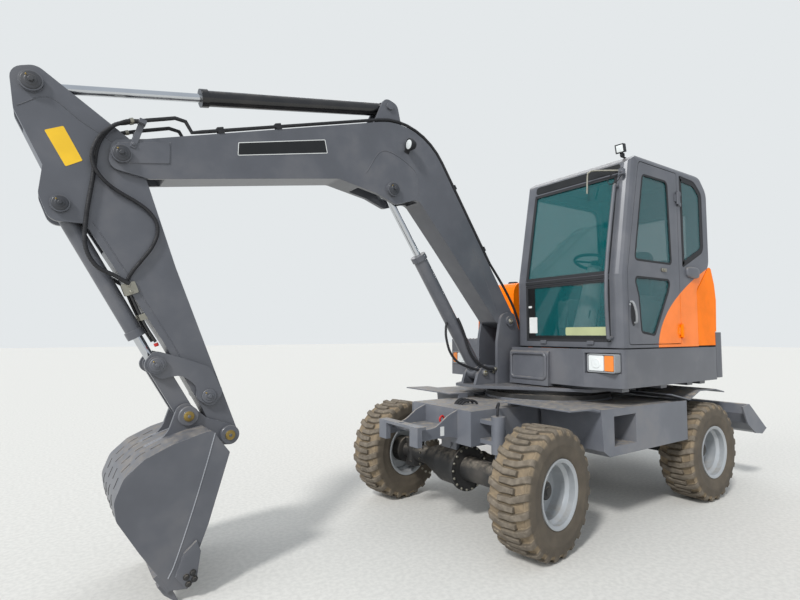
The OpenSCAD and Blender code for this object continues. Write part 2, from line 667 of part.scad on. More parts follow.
// Engine hood over the counterweight, hinged at its front edge
hood_rows = [[-1226, weight_top_z + 6, 0], [-1240, 1750, 60], [-1216, 1895, 60], [-1188, 1976, 0], [-1330,
    1975, 140],
    [-1560, 1890, 120], [-1606, weight_top_z + 6, 0]];
module hood() placed() color("#f28a1c") {
    wall = 20;
    inner = bend([[-1606 + wall, weight_top_z, 0], [-1560 + wall - 4, 1890 - wall, 100], [-1330,
        1975 - wall, 120],
        [-1100, 1957, 0]]);
    difference() {
        slab(soft(hood_rows), -hood_half_w, hood_half_w);
        slab(concat(inner, [[-1100, weight_top_z]]), -hood_half_w + wall, hood_half_w - wall);
    }
    for (y = hinge_y) difference() {
        union() {
            cross_pin(hood_hinge, 13, y - 30, y + 30);
            block([hood_hinge.x - 13, y - 30, 1965], [hood_hinge.x + 6, y + 30, hood_hinge.y]);
        }
        cross_pin(hood_hinge, 6 + fit, y - 31, y + 31);
    }
}

// Orange body behind the cab and over the tanks to the right
module side_body() placed() color("#f28a1c") {
    wall = 14;
    right_in = -430;
    difference() {
        union() {
            difference() {
                slab(soft(body_rows), right_in, cab_left_y - 1);
                slab(soft(inset(body_rows, wall)), right_in - 1, cab_left_y - wall);
                // Open below and towards the engine
                block([-1180, right_in - 1, 1300], [-900, cab_left_y - wall, 1400]);
            }
            // Right cover over the tanks and pumps
            difference() {
                slab(soft(right_rows), -cab_left_y, right_in);
                slab(soft(inset(right_rows, wall)), -cab_left_y + wall, right_in - wall);
            }
        }
        block([-1300, -hood_half_w + 25, 1475], [-1128, hood_half_w - 25, 1925]);
        block([-1300, -hood_half_w + 25, 1300], [-1128, right_in + 800, 1500]);
    }
    for (x = [-1060, -420]) block([x + 10, -860, rail_z], [x + 80, -840, right_z0 + 1]);
    // Knuckles and pins of the hood's hinges
    for (y = hinge_y) {
        for (side = [1, -1]) {
            cross_pin(hood_hinge, 13, y + side * 46 - 15, y + side * 46 + 15);
            block([hood_hinge.x, y + side * 46 - 15, hood_hinge.y - 8], [-1158, y + side * 46 + 15,
                hood_hinge.y + 8]);
        }
        cross_pin(hood_hinge, 6, y - 60, y + 60);
    }
}
right_z0 = deck_z + 75;
right_rows = [[-1186, weight_top_z + 6, 0], [-1229, 1750, 60], [-1205, 1890, 60], [-1152, 1992, 40], [-60,
    1960, 120],
    [-40, 1500, 60], [-40, right_z0, 0], [-1125, right_z0, 0], [-1125, weight_top_z + 6, 0]];

// Engine across the rear
module engine() placed() color("#5d5f60") {
    block([-1440, -420, 1130], [-1150, 330, 1640]);
    for (y = [-380, 250]) block([-1280, y, deck_z + deck_t], [-1200, y + 60, 1131]);
}

// Cab

cab_rear_x = -1112;
cab_front_x = 250;
// Height where the screen starts to lean back, and its top
knee_z = 1900;
screen_top = [84, cab_roof_z - 66];
// Side, front and plan outlines of the cab
cab_side_rows = [[cab_front_x, cab_floor_z, 0], [cab_front_x, knee_z, 60], [screen_top.x, screen_top.y, 60],
    [-20, cab_roof_z, 90], [cab_rear_x + 150, cab_roof_z, 110], [cab_rear_x, cab_roof_z - 150, 130],
        [cab_rear_x, 2060, 120],
    [-880, 1830, 60], [-880, cab_floor_z, 0]];
cab_end_rows = [[cab_left_y, cab_floor_z - 400, 0], [cab_left_y, cab_roof_z, 50], [cab_right_y,
    cab_roof_z, 50],
    [cab_right_y, cab_floor_z - 400, 0]];
screen_lean = atan((cab_front_x - screen_top.x) / (screen_top.y - knee_z));
module cab_volume(t) {
    plan = soft(inset([[0, cab_left_y, 78], [0, cab_right_y, 50], [-2500, cab_right_y, 0], [-2500,
        cab_left_y, 0]], t));
    intersection() {
        slab(soft(inset(cab_side_rows, t)), cab_right_y + t, cab_left_y - t);
        translate([-1500, 0, 0]) rotate([90, 0, 90]) linear_extrude(2000) polygon(soft(inset(cab_end_rows,
            t), 6));
        translate([cab_front_x, 0, 1000]) linear_extrude(2500) polygon(plan);
        translate([cab_front_x, 0, knee_z]) rotate([0, -screen_lean, 0]) translate([0, 0,
            -1200]) linear_extrude(3000)
            polygon(plan);
    }
}

// Door and windows in the side plane
door_rear_x = -598;
door_front_x = 172;
door_rows = [[door_front_x, cab_floor_z + 22, 30], [door_front_x, knee_z + 16, 60], [-22, cab_roof_z - 52,
    50],
    [door_rear_x, cab_roof_z - 52, 20], [door_rear_x, cab_floor_z + 22, 20]];
upper_window = [[-68, 2715, 50], [-450, 2716, 50], [-482, 2013, 40], [76, 2010, 40]];
lower_window = [[89, 1893, 40], [-458, 1895, 40], [-420, 1790, 60], [-193, 1428, 40], [4, 1451, 40], [30,
    1740, 80]];
quarter_window = [[-640, 2800, 20], [-900, 2790, 150], [-1030, 2690, 90], [-1030, 2170, 90], [-648, 2000,
    20]];
right_window = [[20, 2730, 60], [-1000, 2740, 120], [-1020, 2200, 100], [-880, 1900, 60], [165, 1900, 60]];
// Hinges of the door: axis in plan, and heights
hinge_axis = [door_rear_x - 3, cab_left_y + 12];
hinge_z = [1470, 2590];
// Windscreen parts, rear window and roof hatch: low and high corner in their own plane
low_screen = [[0, 1383], [825, 1865]];
high_screen = [[0, 1905], [825, 2705]];
rear_window = [[60, 2130], [760, 2560]];
hatch = [[-420, 120], [-80, 720]];
// How far a pane lies below the outer face
pane_in = 8;
// Outer face of the leaning screen at height z
function lean_x(z) = cab_front_x - pane_in - glass_t - (z - knee_z) * tan(screen_lean);
module cab() placed() color("#4d5054") {
    for (z = hinge_z) {
        for (side = [1, -1]) {
            translate([hinge_axis.x, hinge_axis.y, z + side * 46 - 15]) cylinder(r = 11, h = 30);
            block([hinge_axis.x - 50, cab_left_y - 1, z + side * 46 - 15],
                [hinge_axis.x, cab_left_y + 8, z + side * 46 + 15]);
        }
        translate([hinge_axis.x, hinge_axis.y, z - 60]) cylinder(r = 5, h = 120);
    }
    cab_shell();
}

module cab_shell() difference() {
    cab_volume(0);
    cab_volume(cab_wall);
    slab(soft(door_rows), cab_left_y - cab_wall - 1, cab_left_y + 1);
    slab(soft(quarter_window), cab_left_y - cab_wall - 1, cab_left_y + 1);
    slab(soft(right_window), cab_right_y - 1, cab_right_y + cab_wall + 1);
    for (s = [low_screen, high_screen]) block([0, s[0].x, s[0].y], [400, s[1].x, s[1].y]);
    block([cab_rear_x - 1, rear_window[0].x, rear_window[0].y], [cab_rear_x + 120, rear_window[1].x,
        rear_window[1].y]);
    block([hatch[0].x, hatch[0].y, cab_roof_z - 80], [hatch[1].x, hatch[1].y, cab_roof_z + 1]);
}

// Panes seated in the openings of the cab
module cab_glass() placed() color("#7fb5ae", 0.5) {
    y0 = cab_left_y - pane_in - glass_t;
    slab(soft(inset(quarter_window, fit)), y0, y0 + glass_t);
    slab(soft(inset(right_window, fit)), cab_right_y + pane_in, cab_right_y + pane_in + glass_t);
    x0 = cab_front_x - pane_in - glass_t;
    block([x0, low_screen[0].x + fit, low_screen[0].y + fit], [x0 + glass_t, low_screen[1].x - fit,
        low_screen[1].y - fit]);
    z0 = high_screen[0].y + fit;
    z1 = high_screen[1].y - fit;
    slab([[lean_x(z0), z0], [lean_x(z1), z1], [lean_x(z1) + glass_t, z1], [lean_x(z0) + glass_t, z0]],
        high_screen[0].x + fit, high_screen[1].x - fit);
    block([cab_rear_x + pane_in, rear_window[0].x + fit, rear_window[0].y + fit],
        [cab_rear_x + pane_in + glass_t, rear_window[1].x - fit, rear_window[1].y - fit]);
    z2 = cab_roof_z - pane_in - glass_t;
    block([hatch[0].x + fit, hatch[0].y + fit, z2], [hatch[1].x - fit, hatch[1].y - fit, z2 + glass_t]);
}

module door() placed() color("#4d5054") {
    difference() {
        slab(soft(inset(door_rows, door_gap)), cab_left_y - door_t, cab_left_y);
        slab(soft(upper_window), 0, 2000);
        slab(soft(lower_window), 0, 2000);
    }
    for (z = hinge_z) difference() {
        union() {
            translate([hinge_axis.x, hinge_axis.y, z - 30]) cylinder(r = 11, h = 60);
            block([hinge_axis.x, cab_left_y + 0.5, z - 30], [hinge_axis.x + 50, cab_left_y + 8, z + 30]);
            block([hinge_axis.x + 14, cab_left_y - 1, z - 30], [hinge_axis.x + 50, cab_left_y + 8, z + 30]);
        }
        translate([hinge_axis.x, hinge_axis.y, z - 40]) cylinder(r = 5 + fit, h = 80);
    }
}

module door_glass() placed() color("#7fb5ae", 0.5) {
    y0 = cab_left_y - pane_in - glass_t;
    slab(soft(inset(upper_window, fit)), y0, y0 + glass_t);
    slab(soft(inset(lower_window, fit)), y0, y0 + glass_t);
}

// Operator's seat: cushion, backrest and base
module seat() placed() color("#2a2a2c") {
    block([-640, 230, 1560], [-170, 690, 1690]);
    on_line([-560, 1680], 100) slab([[0, -60], [520, -60], [520, 50], [0, 50]], 240, 680);
    block([-600, 300, cab_floor_z + cab_wall + fit], [-250, 620, 1561]);
}

// Steering column, side consoles and pedals
module controls() placed() color("#2f3336") {
    floor_z = cab_floor_z + cab_wall + fit;
    block([-20, 390, floor_z], [110, 490, floor_z + 50]);
    tube([60, 440, floor_z + 12], [-60, 440, 1950], 42);
    tube([-60, 440, 1940], [-84, 440, 2010], 170);
    for (y = [[70, 190], [720, 830]]) block([-560, y[0], floor_z], [-80, y[1], 1760]);
}

// Lamps on the skirt, the roof and the tank box
module lamps() placed() color("#d9dbd6") {
    block([245, 662, 1155], [322, 898, 1295]);
    block([330, -900, 1150], [346, -700, 1270]);
    block([-80, 790, cab_roof_z + fit], [30, 830, cab_roof_z + 20]);
    block([-20, 760, cab_roof_z + 19], [60, 860, cab_roof_z + 110]);
}

// Grab rail in front of the left pillar
rail_y = 836;
module rails() placed() color("#3c3e41")
    pipe(route([[cab_front_x + 2.2, rail_y, 1418], [cab_front_x + 30, rail_y, 1418], [cab_front_x + 54,
        rail_y, 1450],
        [cab_front_x + 56, rail_y, 1900], [182, rail_y, 2540], [166, rail_y, 2590], [132, rail_y, 2600]],
            4), 14);

// Boom, arm and their cylinders

module at_boom() placed() on_line(boom_foot, boom_angle, boom_y) children();
module at_arm() placed() on_line(arm_pivot, arm_angle, boom_y) children();

// Boom outline along its pin line: place, height, radius
knee_at = [1404, 1300];
knee_r = 540;
back_from = [-76, 60];
back_to = [boom_len - 90, 150];
boom_rows = [[-70, -50, 50], [back_from.x, back_from.y, 55], [knee_at.x, knee_at.y, knee_r], [back_to.x,
    back_to.y, 60],
    [boom_len + 70, 60, 60], [boom_len + 40, -100, 60], [boom_len - 180, -70, 60], [2218, 353, 0], [1936,
        492, 100],
    [1600, 530, 60], [1420, 520, 60], [1230, 650, 80], [830, 400, 0], [125, -52, 60]];
boom_hollow = [[250, 110], [1140, 1000], [1340, 1100], [1520, 1110], [1780, 1020], [2990, 260], [2990, 20],
    [2240, 370], [1960, 505], [1790, 700], [1230, 740], [1180, 640], [840, 425]];
fork_gap = arm_w + 12;
slot_half = boom_cyl_d / 2 + 14;
module boom() color("#4a4c50") at_boom() {
    half = boom_w / 2;
    difference() {
        slab(soft(boom_rows, 8), -half, half);
        slab(boom_hollow, -half + web_t, half - web_t);
        // Fork round the arm
        slab([[boom_len - 530, -220], [boom_len - 210, 0], [boom_len - 145, 60], [boom_len - 145, 400],
            [boom_len + 250, 400],
            [boom_len + 250, -220]], -fork_gap / 2, fork_gap / 2);
        // Slot for the boom cylinder's rod eye, open below
        slab(soft([[boom_rod_at.x - 275, 200, 0], [boom_rod_at.x - 262, 780, 120], [boom_rod_at.x + 235,
            790, 120],
            [boom_rod_at.x + 290, 400, 0]]), -slot_half, slot_half);
        cross_pin([0, 0], pin_d / 2 + fit, -half - 1, half + 1);
        cross_pin([boom_len, 0], pin_d / 2 + fit, -half - 1, half + 1);
    }
    // Pin of the arm and its caps
    cross_pin([boom_len, 0], pin_d / 2, -half - 30, half + 30);
    for (side = [1, -1]) {
        translate([boom_len, side * (half + 16), 0]) rotate([90, 0, 0]) cylinder(r = 52, h = 26,
            center = true);
        translate([boom_rod_at.x, side * (half + 12), boom_rod_at.y]) rotate([90, 0, 0])
            cylinder(r = 56, h = 26, center = true);
        // Ears of the arm cylinder's foot
        difference() {
            slab(soft([[arm_foot_at.x - 190, 1090, 0], [arm_foot_at.x - 62, arm_foot_at.y + 50, 60],
                [arm_foot_at.x + 62, arm_foot_at.y + 50, 60], [arm_foot_at.x + 100, 980, 0]]),
                side * 68 - 11, side * 68 + 11);
            cross_pin(arm_foot_at, pin_d / 2 + fit, -200, 200);
        }
    }
    cross_pin(arm_foot_at, pin_d / 2, -96, 96);
}

// Route along the boom's back at height h over it, from place s to its tip
pipe_r = 12;
pipe_y = boom_w / 2 - 8;
pipe_end = [boom_len + 12, 208];
function back_route(h, s) =
    let (u = unit(knee_at - back_from), v = unit(back_to - knee_at), n1 = [-u.y, u.x], n2 = [-v.y, v.x],
        k = knee_at + h * (n1 + n2) / (1 + n1 * n2))
    concat([back_from + h * n1 + s * u], corner(back_from + h * n1, k, back_to + h * n2, knee_r + h, 8),
        [back_to + h * n2 - 330 * v, back_to + h * n2 - 270 * v]);

// Hard pipes on the boom's back with their clamps
module boom_pipes() color("#1e1e20") at_boom() {
    over = back_route(pipe_r + 8, 560);
    for (y = [-pipe_y, pipe_y])
        pipe([for (p = concat(over, [for (q = [[-250, 362], [-190, 352], [-130, 310], [-60,
            262]]) [boom_len + q.x, q.y]], [pipe_end]))
            [p.x, y, p.y]], pipe_r);
    for (at = [[900, 1], [1500, 1], [2400, -1], [2800, -1]]) {
        up = at[1] > 0;
        a = up ? slope(back_from, knee_at) : slope(knee_at, back_to);
        p = up ? back_from + (at.x - 200) * dir(a) : back_to - (boom_len - at.x) * dir(a);
        translate([p.x, 0, p.y]) rotate([0, -a, 0]) for (y = [-pipe_y, pipe_y])
            difference() {
                block([-20, y - 22, fit], [20, y + 12, 2 * pipe_r + 16]);
                translate([0, 0, pipe_r + 8]) bar_x([y, 0], pipe_r + 0.6, -50, 50);
            }
    }
}

// How far a barrel ends, and its rod starts, before the rod's eye: boom, arm and bucket cylinder
barrel_short = [576, 895, 186];
rod_reach = [936, 1235, 516];
boom_cyl_len = norm(boom_rod_pin - boom_barrel_pin);
module at_boom_cyl() placed() on_line(boom_barrel_pin, slope(boom_barrel_pin, boom_rod_pin),
    boom_y) children();
module boom_barrel() color("#3f4145") at_boom_cyl() barrel(boom_cyl_d, boom_cyl_len - barrel_short[0],
    130, 62);
module boom_rod() color("#d6d8da") at_boom_cyl() rod(boom_cyl_len - rod_reach[0], boom_cyl_len,
    2 * slot_half - 12, 58);

arm_cyl_len = norm(arm_rod_pin - arm_barrel_pin);
module at_arm_cyl() placed() on_line(arm_barrel_pin, slope(arm_barrel_pin, arm_rod_pin), boom_y) children();
module arm_barrel() color("#232326") at_arm_cyl() barrel(arm_cyl_d, arm_cyl_len - barrel_short[1], 112, 56);
module arm_rod() color("#d6d8da") at_arm_cyl() rod(arm_cyl_len - rod_reach[1], arm_cyl_len, 72, 52);

// Arm outline along its pin line: place, height, radius
arm_outline = soft([[-540, 235, 70], [-60, -95, 110], [700, -64, 0], [arm_len + 66, -62, 60],
    [arm_len + 66, 62, 60],
    [1560, 84, 60], [1100, 150, 0], [330, 300, 40], [272, 456, 66], [120, 456, 66], [-20, 386, 0], [-330,
        412, 50],
    [-540, 360, 70]]);
arm_hollow = [[-190, 110], [60, -30], [700, -40], [1340, -35], [1340, 90], [1090, 128], [300, 280], [60,
    330], [-180, 330]];
module arm() color("#4a4c50") at_arm() {
    half = arm_w / 2;
    difference() {
        union() {
            slab(arm_outline, -half, half);
            cross_pin(guide_at, 58, -half - 8, half + 8);
        }
        slab(arm_hollow, -half + web_t, half - web_t);
        cross_pin([0, 0], pin_d / 2 + fit, -200, 200);
        // Gap for the arm cylinder's rod eye
        slab([[-700, 0], [-700, 600], [-330, 600], [-230, 420], [-240, 160], [-330, 0]], -42, 42);
        // Gap for the bucket cylinder's foot eye and barrel
        slab([[120, 290], [120, 520], [500, 520], [500, 240], [300, 296]], -52, 52);
        cross_pin(horn_at, pin_d / 2 - 5 + fit, -200, 200);
        cross_pin(guide_at, pin_d / 2 - 5 + fit, -200, 200);
        cross_pin([arm_len, 0], pin_d / 2 - 5 + fit, -200, 200);
    }
    cross_pin(horn_at, pin_d / 2 - 5, -half - 20, half + 20);
    cross_pin(guide_at, pin_d / 2 - 5, -half - 34, half + 34);
    for (side = [1, -1]) {
        translate([horn_at.x, side * (half + 12), horn_at.y]) rotate([90, 0, 0]) cylinder(r = 48, h = 20,
            center = true);
        translate([arm_head_at.x, side * (half + 12), arm_head_at.y]) rotate([90, 0, 0])
            cylinder(r = 56, h = 26, center = true);
    }
}

// Jumper hoses from the boom's pipes to the arm
module arm_hoses() color("#26262a") placed() {
    start = along(boom_foot, boom_angle, pipe_end.x + 0.4, pipe_end.y - 0.3);
    for (side = [1, -1]) pipe(route([for (p = [[0.6, -0.2], [28, -10.6], [94, -46], [162, -170], [182,
        -370], [204, -573], [204, -742],
        [150, -850], [60, -900], [-20, -945]]) [start.x + p.x, boom_y + side * pipe_y, start.y + p.y]]),
            pipe_r);
}

bucket_cyl_len = norm(link_top_pin - bucket_barrel_pin);
module at_bucket_cyl() placed() on_line(bucket_barrel_pin, slope(bucket_barrel_pin, link_top_pin),
    boom_y) children();
module bucket_barrel() color("#3f4145") at_bucket_cyl() barrel(bucket_cyl_d,
    bucket_cyl_len - barrel_short[2], 102, 50);
module bucket_rod() color("#d6d8da") at_bucket_cyl() rod(bucket_cyl_len - rod_reach[2], bucket_cyl_len,
    66, 46);

// Guide links outside the arm: arched plates with a cap at each pin
plate_in = arm_w / 2 + 9;
plate_thick = 22;
module guide_links() color("#54575b") placed() on_line(guide_pin, slope(guide_pin, link_top_pin), boom_y)
    for (side = [1, -1]) {
        y0 = side > 0 ? plate_in : -plate_in - plate_thick;
        difference() {
            slab(soft([[-58, -50, 45], [-62, 62, 50], [90, 150, 90], [250, 112, 120], [guide_len + 62, 62,
                50],
                [guide_len + 62, -58, 50], [guide_len - 70, -56, 50], [210, 26, 90], [90, 10, 60], [60,
                    -52, 50]]), y0, y0 + plate_thick);
            cross_pin([0, 0], pin_d / 2 - 5 + fit, -300, 300);
        }
        translate([guide_len, side * (plate_in + plate_thick + 9), 0]) rotate([90, 0, 0]) cylinder(r = 50,
            h = 20, center = true);
    }

// Bucket link between the guide links and the bucket ears
module bucket_link() color("#4f5256") placed() on_line(bucket_link_pin, slope(bucket_link_pin,
    link_top_pin), boom_y)
    difference() {
        union() {
            for (side = [1, -1]) slab(soft([[-52, -50, 48], [-52, 50, 48], [link_len + 52, 50, 48],
                [link_len + 52, -50, 48]]),
                side > 0 ? 46 : -76, side > 0 ? 76 : -46);
            cross_pin([0, 0], 50, -76, 76);
            block([30, -76, -30], [150, 76, 30]);
        }
        cross_pin([0, 0], pin_d / 2 - 5 + fit, -300, 300);
        cross_pin([link_len, 0], pin_d / 2 - 5 + fit, -300, 300);
    }

// Bucket, drawn from its pin along the line to its link pin
bucket_back = bend([[28, -79, 0], [180, -12, 24], [216, -40, 0], [338, -162, 60], [427, -282, 90], [468,
    -400, 90],
    [450, -520, 90], [389, -599, 60], [204, -704, 200], [20, -798, 0], [-45, -829, 0]]);
lip = [-45, -829];
lip_dir = unit([-85, -39]);
lip_angle = slope([0, 0], lip_dir);
module bucket() color("#55585c") placed() on_line(bucket_pin, bucket_angle, boom_y) {
    half = bucket_w / 2;
    // Back shell, floor and side plates, open at the mouth
    difference() {
        slab(concat(bucket_back, [[-120, -800], [-89, -657], [-60, -467]]), -half, half);
        slab(concat([for (i = [0:len(bucket_back) - 1]) beside(bucket_back, i, -shell_t)], [[-260, -780],
            [-200, -100]]),
            -half + shell_t, half - shell_t);
    }
    for (side = [1, -1]) {
        // Side cutter
        slab([[-40, -560], [-10, -640], [-30, -760], [-118, -797], [-140, -730], [-88, -600]],
            side > 0 ? half - 1 : -half - 14, side > 0 ? half + 14 : -half + 1);
        // Ears that run down the back
        y0 = side > 0 ? arm_w / 2 + 8 : -arm_w / 2 - 8 - 24;
        difference() {
            slab(soft([[-58, -52, 50], [-58, 60, 55], [60, 54, 60], [171, 33, 80], [250, 50, 40], [320,
                72, 50], [360, 20, 50],
                [334, -120, 120], [356, -215, 60], [420, -310, 0], [330, -200, 0], [200, -40, 0], [100,
                    -60, 40]]), y0, y0 + 24);
            cross_pin([0, 0], pin_d / 2 - 5 + fit, -300, 300);
            cross_pin([crank_len, 0], pin_d / 2 - 5 + fit, -300, 300);
        }
    }
    cross_pin([0, 0], pin_d / 2 - 5, -arm_w / 2 - 52, arm_w / 2 + 52);
    cross_pin([crank_len, 0], pin_d / 2 - 5, -arm_w / 2 - 52, arm_w / 2 + 52);
    // Cutting edge and its teeth
    on_line(lip, lip_angle) {
        block([-120, -half + 1, -6], [0, half - 1, 20]);
        for (k = [-2:2]) translate([0, k * (half - 44) / 2, 0])
            slab([[-60, -10], [0, -10], [84, 6], [84, 14], [0, 36], [-60, 34]], -30, 30);
    }
}

frame();
toolboxes();
fenders();
rear_axle();
front_axle();
driveline();
slew_ring();
knuckle(1);  // knuckle_left
knuckle(-1);  // knuckle_right
tyre(true, 1);  // tyre_front_left
tyre(true, -1);  // tyre_front_right
tyre(false, 1);  // tyre_rear_left
tyre(false, -1);  // tyre_rear_right
rim(true, 1);  // rim_front_left
rim(true, -1);  // rim_front_right
rim(false, 1);  // rim_rear_left
rim(false, -1);  // rim_rear_right
blade();
blade_barrel();
blade_rod();
deck();
skirt();
counterweight();
hood();
side_body();
engine();
cab();
cab_glass();
door();
door_glass();
seat();
controls();
lamps();
rails();
boom();
boom_pipes();
boom_barrel();
boom_rod();
arm_barrel();
arm_rod();
arm();
arm_hoses();
bucket_barrel();
bucket_rod();
guide_links();
bucket_link();
bucket();
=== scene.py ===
"""Looks of a wheeled excavator: finishes for its fixed frame, and the small pieces that the frame leaves out."""

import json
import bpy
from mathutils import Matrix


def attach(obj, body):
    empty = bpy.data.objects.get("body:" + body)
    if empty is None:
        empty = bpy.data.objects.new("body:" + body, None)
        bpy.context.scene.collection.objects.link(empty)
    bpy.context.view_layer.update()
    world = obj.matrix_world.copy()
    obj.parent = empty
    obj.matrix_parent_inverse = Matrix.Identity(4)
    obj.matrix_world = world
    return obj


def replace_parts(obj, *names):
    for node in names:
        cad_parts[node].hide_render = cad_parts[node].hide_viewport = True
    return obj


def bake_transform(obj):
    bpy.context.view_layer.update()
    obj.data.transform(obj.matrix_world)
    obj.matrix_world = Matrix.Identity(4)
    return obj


bl_info = {
    "name": "Wheeled Excavator Dressing",
    "version": (1, 0, 0),
    "blender": (4, 5, 0),
    "location": "View3D > Sidebar > Excavator",
    "description": "Dresses the packed frame of a wheeled excavator and sets its stage",
    "category": "Object",
}

import bmesh
import bpy
import numpy as np
from mathutils import Matrix

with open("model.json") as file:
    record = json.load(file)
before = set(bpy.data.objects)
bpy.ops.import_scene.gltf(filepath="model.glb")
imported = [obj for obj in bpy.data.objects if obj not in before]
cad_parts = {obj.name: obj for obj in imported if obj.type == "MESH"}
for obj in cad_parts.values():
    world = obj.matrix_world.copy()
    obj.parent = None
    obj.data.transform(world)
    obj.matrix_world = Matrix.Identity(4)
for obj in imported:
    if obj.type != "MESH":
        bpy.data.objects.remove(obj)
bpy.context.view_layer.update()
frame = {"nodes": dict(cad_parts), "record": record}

# The frame's own sizes, in machine millimetres and degrees: X forward from the slewing axis, Y to the left, Z up
ORIGIN = np.array([-932.0, 0.0, 0.0])
BOOM_Y = -262.0
FOOT, BOOM_ANGLE, BOOM_LEN = np.array([330.0, 1560.0]), 16.35, 3250.0
ARM_ANGLE, ARM_LEN = -111.3, 1772.0
BUCKET_ANGLE, BUCKET_PINS = ARM_ANGLE + 140.3, 280.0
GUIDE_LEN, LINK_LEN = 361.0, 357.0
# Half widths over the plates of the boom, the arm and the bucket
BOOM_SIDE, ARM_SIDE, BUCKET_SIDE = 103, 78, 350
# Axles: distance from the slewing axis, height, half of the track, the front wheels' kingpins and their angle
AXLE_X, AXLE_Z, HALF_TRACK, KINGPIN_Y, STEERED = 1060.0, 420.0, 800.0, 610.0, 8.7
WHEELS = ("front_left", "front_right", "rear_left", "rear_right")
# Hoses: distance between points, and the pitch and half height of the spiral guard's turns
HOSE_STEP, SPIRAL_PITCH, SPIRAL_RISE, CRIMP_R = 5.0, 14.0, 0.9, 12.4
# Finishes that many pieces take: slot of the record, and material
TRIM, PAINT = ("cab_trim", "Moulded trim"), ("grey_paint", "Grey enamel")
ZINC, LENS = ("chrome", "Zinc plated steel"), ("lamp", "Clear lens")
PRINT, WHITE = ("cab_trim", "Black window print"), ("cab_trim", "Blank white label")
# Camera worked out from the machine's known sizes: place, turn and rise in radians, focal length in pixels
CAMERA_AT, YAW, PITCH, FOCAL = [3761, 3112, 1451], -2.1740, 0.065, 511.3
FRAME_PIXELS, SENSOR = 800.0, 36.0
# Half of the floor's side, and the distance under which points of a piece are one, in metres
FLOOR, WELD = 60, 2e-6


def linear(text):
    """Linear colour of an sRGB hex value."""
    value = np.array([int(text[i : i + 2], 16) for i in (1, 3, 5)]) / 255
    value = np.where(value <= 0.04045, value / 12.92, ((value + 0.055) / 1.055) ** 2.4)
    return (*map(float, value), 1.0)


def colour(name, words, text):
    """A colour property with its default as sRGB hex."""
    return bpy.props.FloatVectorProperty(
        name=name, description=words, subtype="COLOR", size=4, min=0, max=1, default=linear(text)
    )


def length(name, words, metres):
    """A size property in metres."""
    return bpy.props.FloatProperty(name=name, description=words, unit="LENGTH", min=0, default=metres)


class ExcavatorColours(bpy.types.PropertyGroup):
    """Colours of the machine's finishes."""

    paint: colour("Grey paint", "Top coat of the arms, cab and upper body", "#585a60")
    chassis: colour("Chassis paint", "Top coat of the chassis and the blade", "#676a71")
    body: colour("Orange paint", "Top coat of the rear body and the hood", "#fb7c00")
    iron: colour("Axle paint", "Thin paint on the axle castings", "#262626")
    rubber: colour("Rubber", "Tyre rubber under its dust", "#544c41")
    rim: colour("Rim paint", "Silver paint of the wheels", "#a9adb0")
    dust: colour("Dust", "Yard dust on surfaces that face up", "#9a9082")
    glass: colour("Glass", "Tint of the safety glass", "#0f5f62")
    label: colour("Yellow plate", "Ground of the blank yellow plates", "#f2c21a")


class ExcavatorSizes(bpy.types.PropertyGroup):
    """Sizes of the pieces that the frame leaves out."""

    tyre_r: length("Tyre radius", "Radius over the lugs", 0.420)
    tyre_half: length("Tyre half width", "Half of the width over the shoulders", 0.150)
    lug: length("Lug height", "Depth of the grooves between the lugs", 0.026)


# Points and meshes


def row(points):
    """Machine millimetres to the row frame's metres."""
    return (np.asarray(points, float) + ORIGIN) / 1000


def way(angle):
    """Unit vector at an angle in the side plane."""
    return np.array([np.cos(np.radians(angle)), np.sin(np.radians(angle))])


def on_line(foot, angle, u, v, y):
    """Points u along and v across a line that starts at foot in the side plane, y to the left, as x, y, z."""
    u, v, y = np.broadcast_arrays(*(np.asarray(a, float) for a in (u, v, y)))
    p = foot + u[..., None] * way(angle) + v[..., None] * way(angle + 90)
    return np.stack([p[..., 0], y, p[..., 1]], -1)


PIVOT = FOOT + BOOM_LEN * way(BOOM_ANGLE)
BUCKET_PIN = PIVOT + ARM_LEN * way(ARM_ANGLE)


def boom_at(u, v, y=0.0):
    """Points u along the boom's line, v across it, and y to the left of its middle."""
    return on_line(FOOT, BOOM_ANGLE, u, v, np.asarray(y, float) + BOOM_Y)


def arm_at(u, v, y=0.0):
    """Points u along the arm's line, v across it, and y to the left of its middle."""
    return on_line(PIVOT, ARM_ANGLE, u, v, np.asarray(y, float) + BOOM_Y)


def bucket_at(u, v, y=0.0):
    """Points u along the line of the bucket's two pins, v across it, and y to the left of its middle."""
    return on_line(BUCKET_PIN, BUCKET_ANGLE, u, v, np.asarray(y, float) + BOOM_Y)


def net(rows, cols, close_rows=False, close_cols=False):
    """Quads of a grid of rows by cols points, whose rows or columns may close on themselves."""
    i = np.arange(rows if close_rows else rows - 1)[:, None]
    j = np.arange(cols if close_cols else cols - 1)[None, :]
    k, m = (i + 1) % rows, (j + 1) % cols
    corners = np.broadcast_arrays(i * cols + j, i * cols + m, k * cols + m, k * cols + j)
    return np.stack(corners, -1).reshape(-1, 4).tolist()


def frame_of(axis):
    """Two unit vectors square to an axis, turning with it."""
    axis = np.asarray(axis, float) / np.linalg.norm(axis)
    side = np.array([0.0, 0.0, 1.0]) if abs(axis[2]) < 0.9 else np.array([1.0, 0.0, 0.0])
    u = np.cross(side, axis)
    u /= np.linalg.norm(u)
    return u, np.cross(axis, u), axis


def lathe(profile, at, axis, sides=20, turn=0.0):
    """Profile of (radius, height) rows carried round an axis: at + h axis + r (cos t u + sin t v)."""
    u, v, w = frame_of(axis)
    r, h = np.asarray(profile, float).T
    t = np.linspace(0, 2 * np.pi, sides, endpoint=False) + turn
    ring = np.cos(t)[:, None] * u + np.sin(t)[:, None] * v
    points = np.asarray(at, float) + h[:, None, None] * w + r[:, None, None] * ring
    return points.reshape(-1, 3), net(len(r), sides, close_cols=True)


